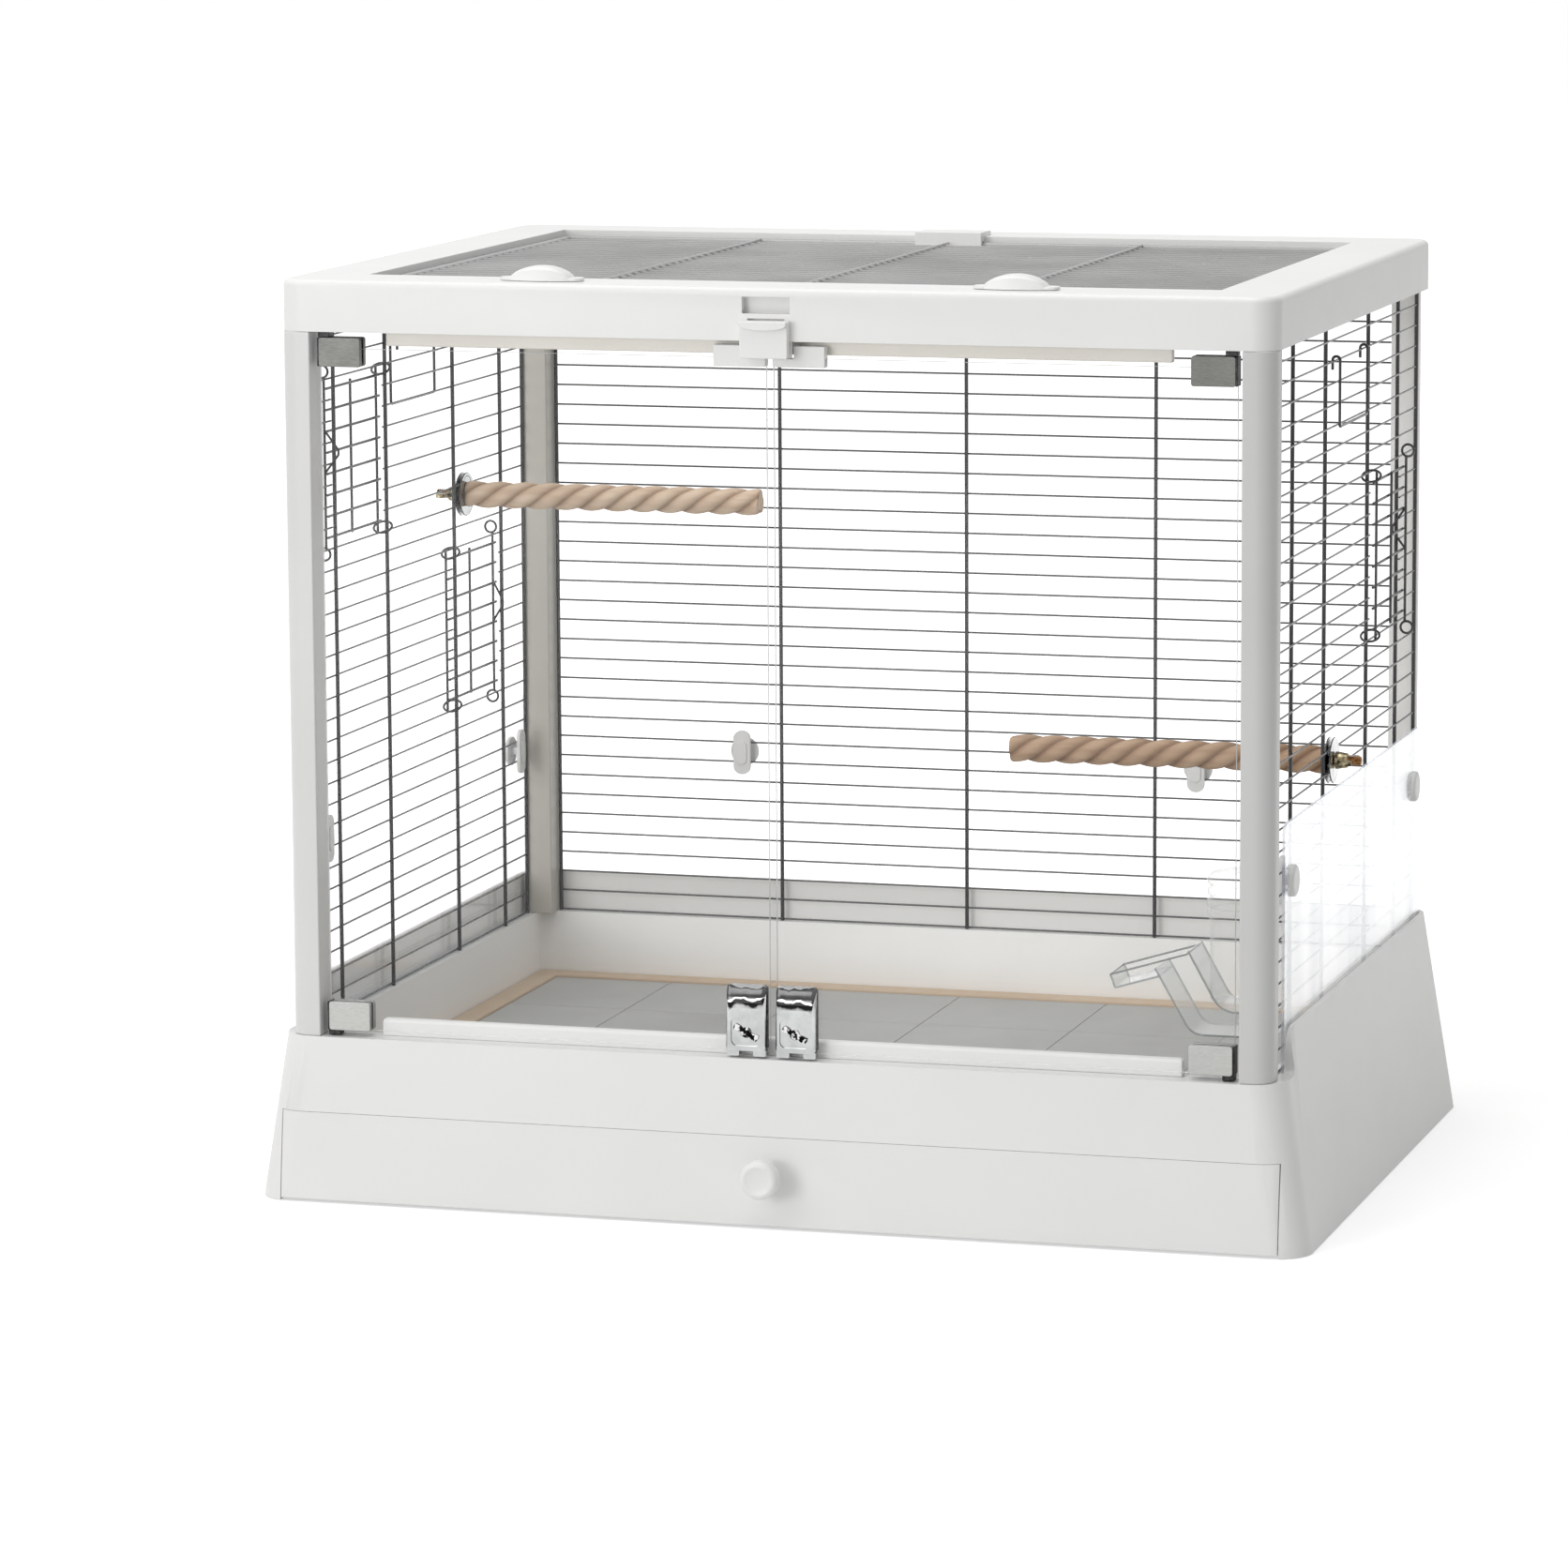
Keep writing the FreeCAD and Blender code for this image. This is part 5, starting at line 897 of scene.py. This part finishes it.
def catch(side_sign, name):
    """A bright catch: rolled back at the top, with a wing screw in a sunk panel and a notch at the foot."""
    low_x, high_x, low_z, high_z = 3.0, 28.6, 105.0, 149.0
    front, back, sunk = -237.9, -230.5, 0.9
    roll_from, roll_depth, loops_between = 134.0, 4.2, 10
    side_from, side_depth = 0.84, 1.4
    screw_x, screw_z, screw_turn = 15.5, 120.0, -24
    panel = rounded_outline((6.0, 111.6), (25.0, 129.0), 3.4, 6)
    rim = rounded_outline((low_x, low_z + 3.6), (high_x, high_z), 2.6, 6)

    def face_y(x, z):
        """The face's place: it falls back at the top and at the sides."""
        top = max(0.0, (z - roll_from) / (high_z - roll_from))
        sideways = abs(x - (low_x + high_x) / 2) / (high_x - low_x) * 2
        edge = max(0.0, sideways - side_from) / (1 - side_from)
        return front + roll_depth * top ** 2.4 + side_depth * edge ** 2

    bm = bmesh.new()
    loops = []
    for step in range(loops_between + 1):
        share = step / loops_between
        pairs = [(a[0] + (b[0] - a[0]) * share, a[1] + (b[1] - a[1]) * share) for a, b in zip(panel, rim)]
        loops.append([bm.verts.new((x, face_y(x, z), z)) for x, z in pairs])
    floor_loop = [bm.verts.new((x, front + sunk, z)) for x, z in panel]
    back_loop = [bm.verts.new((x, back, z)) for x, z in rim]
    bm.faces.new(floor_loop)
    bm.faces.new(back_loop)
    for first, second in zip(loops, loops[1:]):
        join_rings(bm, first, second)
    # Faces on the rolled top take the painted reflection bands.
    for face in bm.faces:
        face.material_index = 1 if face.calc_center_median().z > roll_from else 0
    # The sunk panel's walls and the outer sides take the near-black chrome: painted dark reflections.
    start = len(bm.faces)
    join_rings(bm, floor_loop, loops[0])
    join_rings(bm, loops[-1], back_loop)
    paint(bm, 2, start)
    for x_low, x_high in ((low_x + 0.4, 11.5), (20.5, high_x - 0.4)):
        slab(bm, rounded_outline((x_low, low_z), (x_high, low_z + 4.2), 0.8, 3), front + 1.9, back, 1)
    mirrored(bm, side_sign)
    obj = from_bmesh(bm, f"{name}_catch_body", [CHROME, PAINTED_REFLECTION_CAP, PAINTED_DARK_REFLECTION], 40.0)
    finish_piece(obj, f"{name}_door", "bright_chrome", (f"{name}_catch",))
    screw = bmesh.new()
    turned(screw, [(0.0, 1.5), (2.6, 1.3), (3.3, 0.8), (3.4, -0.2), (0.0, -0.2)], 28)
    wing = [(2.0, -1.2), (5.0, -2.4), (8.0, -2.6), (8.6, -0.4), (8.2, 1.8), (5.0, 1.4), (2.0, 1.2)]
    for way in (-1, 1):
        slab(screw, [(x * way, z * way) for x, z in wing], 0.1, 1.2, 2)
    lean = Matrix.Rotation(math.radians(90), 4, "X") @ Matrix.Rotation(math.radians(screw_turn), 4, "Z")
    put(screw, Matrix.Translation((screw_x * side_sign, front + sunk, screw_z)) @ lean)
    head = bevel(from_bmesh(screw, f"{name}_catch_screw", [PAINTED_REFLECTION_SPOTS]), 0.3, 2)
    finish_piece(head, f"{name}_door", "bright_chrome")


for side_sign, name in ((1, "right"), (-1, "left")):
    hinge_clamps(side_sign, name)
    catch(side_sign, name)
    rounded_node(f"{name}_door_clip", f"{name}_corner_clip", f"{name}_door", "white_plastic", [WHITE], 0.5, 2)


def slider():
    """The latch: CAD track parts, a soft front and a crescent lip."""
    bm = bmesh.new()
    low, top, half = 533.0, 555.5, 15.0
    front, behind, track, back = -244.3, -238.3, -236.2, -233.0
    neck_half, neck_top, plate_half, plate_top = 11.2, 549.0, 15.2, 554.0
    sag, rise, lip_front = 2.2, 3.4, -247.3
    slab(bm, rounded_outline((-half, low), (half, top), 1.4, 4), front, behind, 1)
    block(bm, (-neck_half, behind - 0.1, low), (neck_half, track, neck_top))
    block(bm, (-plate_half, track, low), (plate_half, back, plate_top))
    lip = [(-half, top), (half, top)]
    for turn in range(0, 181, 12):
        angle = math.radians(turn)
        lip.append((half * math.cos(angle), top - sag - rise * math.sin(angle)))
    slab(bm, lip, lip_front, front + 0.3, 1)
    obj = bevel(from_bmesh(bm, "door_latch", [WHITE]), 0.6, 3)
    finish_piece(obj, "latch", "white_plastic", ("latch_slider",))


slider()


# Turn latches on the roof

def turn_latch(side_sign, name):
    """A low dome, thick in the middle, on a foot with two tails."""
    length, width, height = 41.0, 20.0, 9.0
    place = (149.0 * side_sign, -214.0, 575.3)
    foot, pin_r, pin_low = (26.5, 6.5), 3.0, -8.3
    crown_power, waist = 0.62, 0.55
    bm = bmesh.new()
    rows, columns = 16, 12
    grid = []
    for row in range(rows + 1):
        along = -1 + 2 * row / rows
        line = []
        for column in range(columns + 1):
            across = -1 + 2 * column / columns
            crown = max(0.0, 1 - along * along) ** crown_power
            soft_side = max(0.0, 1 - abs(across) ** 5) ** 0.5
            breadth = width / 2 * (waist + (1 - waist) * crown)
            line.append(bm.verts.new((along * length / 2, across * breadth, height * crown * soft_side)))
        grid.append(line)
    for first, second in zip(grid, grid[1:]):
        for column in range(columns):
            bm.faces.new((first[column], second[column], second[column + 1], first[column + 1]))
    bmesh.ops.contextual_create(bm, geom=[edge for edge in bm.edges if edge.is_boundary])
    slab(bm, rounded_outline((-foot[0], -foot[1]), foot, 6.0, 8), 0.0, 1.8, 2)
    pin = [(0.0, pin_low), (pin_r - 0.4, pin_low), (pin_r, pin_low + 0.5), (pin_r, 0.1), (0.0, 0.1)]
    turned(bm, pin, 24)
    put(bm, Matrix.Translation(place))
    obj = bevel(from_bmesh(bm, f"{name}_turn_dome", [WHITE], 50.0), 0.4, 2)
    finish_piece(obj, f"{name}_turn_latch", "white_plastic", (f"roof_latch_{name}",))


turn_latch(1, "right")
turn_latch(-1, "left")


# Perches

def perch(side_sign, name, place_y, place_z):
    """A dowel turned like a three-strand rope, with flat ends."""
    radius, depth, lead, strands = 8.8, 2.1, 54.0, 3
    swell_power, groove_shade_power = 0.8, 1.2
    start, end, soft_end, end_cut = 103.0, 305.1, 1.2, 0.5
    around, steps = 96, 150
    bm = bmesh.new()
    layer = bm.verts.layers.float.new("groove_shade")
    loops = []
    for step in range(steps + 1):
        share = step / steps
        x = start + (end - start) * share
        loop = []
        edge = min(1.0, (x - start) / soft_end, (end - x) / soft_end)
        for turn_step in range(around):
            turn = 2 * math.pi * turn_step / around
            phase = turn + 2 * math.pi * x * side_sign / lead
            swell = abs(math.cos(phase * strands / 2)) ** swell_power
            size = radius - depth * (1 - swell) - end_cut * (1 - edge)
            across, up = size * math.cos(turn), size * math.sin(turn)
            vert = bm.verts.new((x * side_sign, place_y + across, place_z + up))
            # Painted shade, strongest deep in the grooves.
            vert[layer] = (1 - swell) ** groove_shade_power
            loop.append(vert)
        loops.append(loop)
    for first, second in zip(loops, loops[1:]):
        join_rings(bm, first, second)
    for loop in (loops[0], loops[-1]):
        bm.faces.new(loop)
    obj = from_bmesh(bm, f"{name}_perch", [PAINTED_SHADE_WOOD if side_sign > 0 else PAINTED_LIT_WOOD], 60.0)
    finish_piece(obj, "cage", "perch_wood", (f"perch_{name}",))


def along_x(side_sign, x, place_y, place_z):
    """Turns +Z out of the cage on one side."""
    turn = Matrix.Rotation(math.radians(90 * side_sign), 4, "Y")
    return Matrix.Translation((x * side_sign, place_y, place_z)) @ turn


def perch_fittings():
    washers, bolts = bmesh.new(), bmesh.new()
    for side_sign, name, (place_y, place_z) in ((-1, "left", LEFT_PERCH), (1, "right", RIGHT_PERCH)):
        perch(side_sign, name, place_y, place_z)
        for base, way in ((BAR_X - BAR_R, -1), (BAR_X + BAR_R, 1)):
            cup = [(BORE_R, 0.0), (9.0, 0.0), (11.5, 0.2), (14.2, 0.5), (14.5, 0.9), (14.1, 1.4), (11.2, 1.1),
                   (8.6, 1.45), (BORE_R, 1.45), (BORE_R, 0.0)]
            profile = [(radius, height * way) for radius, height in cup]
            add_turned(washers, profile, along_x(side_sign, base, place_y, place_z))
        thread = []
        bolt_from, bolt_to, pitch = 305.25, 326.5, 1.25
        turns = int((bolt_to - bolt_from) / pitch)
        for turn in range(turns):
            base = bolt_from + turn * pitch
            thread += [(2.62, base), (2.98, base + pitch * 0.5)]
        thread += [(2.6, bolt_to - 0.2), (2.0, bolt_to + 0.2), (0.0, bolt_to + 0.2)]
        add_turned(bolts, [(0.0, bolt_from)] + thread, along_x(side_sign, 0.0, place_y, place_z), 24)
        wing_nut(side_sign, name, place_y, place_z)
    # The washers' outer rims take the near-black chrome: painted dark reflections.
    rim_from = 13.6
    for face in washers.faces:
        middle = face.calc_center_median()
        place = LEFT_PERCH if middle.x < 0 else RIGHT_PERCH
        face.material_index = 1 if math.hypot(middle.y - place[0], middle.z - place[1]) > rim_from else 0
    cups = from_bmesh(washers, "perch_cups", [CHROME, PAINTED_DARK_REFLECTION])
    finish_piece(cups, "cage", "bright_chrome", ("perch_washers",))
    finish_piece(from_bmesh(bolts, "perch_studs", [STUD], 50.0), "cage", "yellow_brass", ("perch_bolts",))


def wing_nut(side_sign, name, place_y, place_z):
    """A bell-shaped hub with two thin ears."""
    seat, ear_half = 310.4, 1.4
    bm = bmesh.new()
    hub = [(BORE_R, 0.0), (5.4, 0.0), (5.5, 0.8), (5.2, 3.0), (4.7, 6.0), (4.5, 7.6), (4.1, 8.0),
           (BORE_R, 8.0), (BORE_R, 0.0)]
    turned(bm, hub, 32)
    ear = [(3.6, 1.4), (9.0, 3.0), (13.0, 5.2), (15.0, 8.0), (15.3, 10.4), (14.2, 12.4), (12.2, 12.6),
           (9.6, 10.6), (6.4, 8.0), (3.6, 7.4)]
    for way in (-1, 1):
        slab(bm, [(radius * way, height) for radius, height in ear], -ear_half, ear_half, 0)
    put(bm, along_x(side_sign, seat, place_y, place_z))
    obj = bevel(from_bmesh(bm, f"{name}_nut", [BRASS], 40.0), 0.5, 3)
    finish_piece(obj, f"{name}_wing_nut", "yellow_brass", (f"wing_nut_{name}",))


perch_fittings()


# Waterer

def waterer_bottle():
    """A clear bottle with a ridged collar and a rounded cap."""
    radius, low, collar, top = 19.0, 146.0, 196.0, 225.0
    ribs, rib, place = 4, 7.0, (283.0, -190.0, 0)
    profile = [(0.0, low + 0.4), (radius - 3.0, low + 0.1)]
    profile += arc_profile((radius - 2.0, low + 2.0), 2.0, -80, 0, 5)
    profile += [(radius, collar - 1.5)]
    for step in range(ribs):
        base = collar + rib * step
        profile += [(radius + 0.3, base), (radius + 1.9, base + 1.4), (radius + 1.9, base + rib - 2.4),
                    (radius + 0.3, base + rib - 1.0)]
    profile += [(radius - 1.0, top - 0.8), (radius - 4.0, top), (0.0, top)]
    bm = bmesh.new()
    turned(bm, profile, 56)
    put(bm, Matrix.Translation(place))
    obj = from_bmesh(bm, "water_bottle", [WATER], 40.0)
    finish_piece(obj, "cage", "clear_moulding", ("waterer_bottle",))


def strip(bm, points, thick, low, high):
    """A thin wall along a line of X and Z points, thick to its left; its ends take the second material."""
    points = [Vector(point) for point in points]
    offset = []
    for index, point in enumerate(points):
        before, after = points[max(index - 1, 0)], points[min(index + 1, len(points) - 1)]
        run = (after - before).normalized()
        offset.append(point + Vector((-run.y, run.x)) * thick)
    start = len(bm.faces)
    slab(bm, [tuple(point) for point in points] + [tuple(point) for point in reversed(offset)], low, high, 1)
    paint(bm, 1, start, start + 2)


def waterer_trough():
    """A clear spout: round-bottomed channel that rises from the wall to an open square mouth with a lip."""
    low, high, wall = -208.0, -172.0, 1.3
    lower = bent([(306.5, 126.0), (256.0, 126.0), (233.0, 166.0)], 13.0, 10)
    upper = bent([(254.5, 178.0), (274.5, 142.0), (306.5, 142.0)], 15.0, 10)
    lip = bent([(236.0, 160.8), (208.5, 152.5), (205.4, 161.0)], 1.4, 4)
    bm = bmesh.new()
    for line in (lower, upper, lip):
        strip(bm, line, -wall, low, high)
    mouth = [(207.0, 160.2), (250.0, 173.6)]
    outline = [tuple(point) for point in lower] + mouth + [tuple(point) for point in upper]
    for near in (low + 0.3, high - 0.3 - wall):
        slab(bm, outline, near, near + wall, 1)
    bead = 0.6
    tip, heel = (205.8, 161.2), (253.0, 175.6)
    near, far = low + bead, high - bead
    rim = [(tip[0], near, tip[1]), (heel[0], near, heel[1]), (heel[0], far, heel[1]), (tip[0], far, tip[1])]
    # The bead round the mouth takes the dark edge: painted shade.
    start = len(bm.faces)
    tube(bm, rim, bead, 8, closed=True)
    paint(bm, 1, start)
    obj = from_bmesh(bm, "water_trough", [WATER, PAINTED_DARK_WATER_EDGE], 30.0)
    finish_piece(obj, "cage", "clear_moulding", ("waterer_trough",))


waterer_bottle()
waterer_trough()
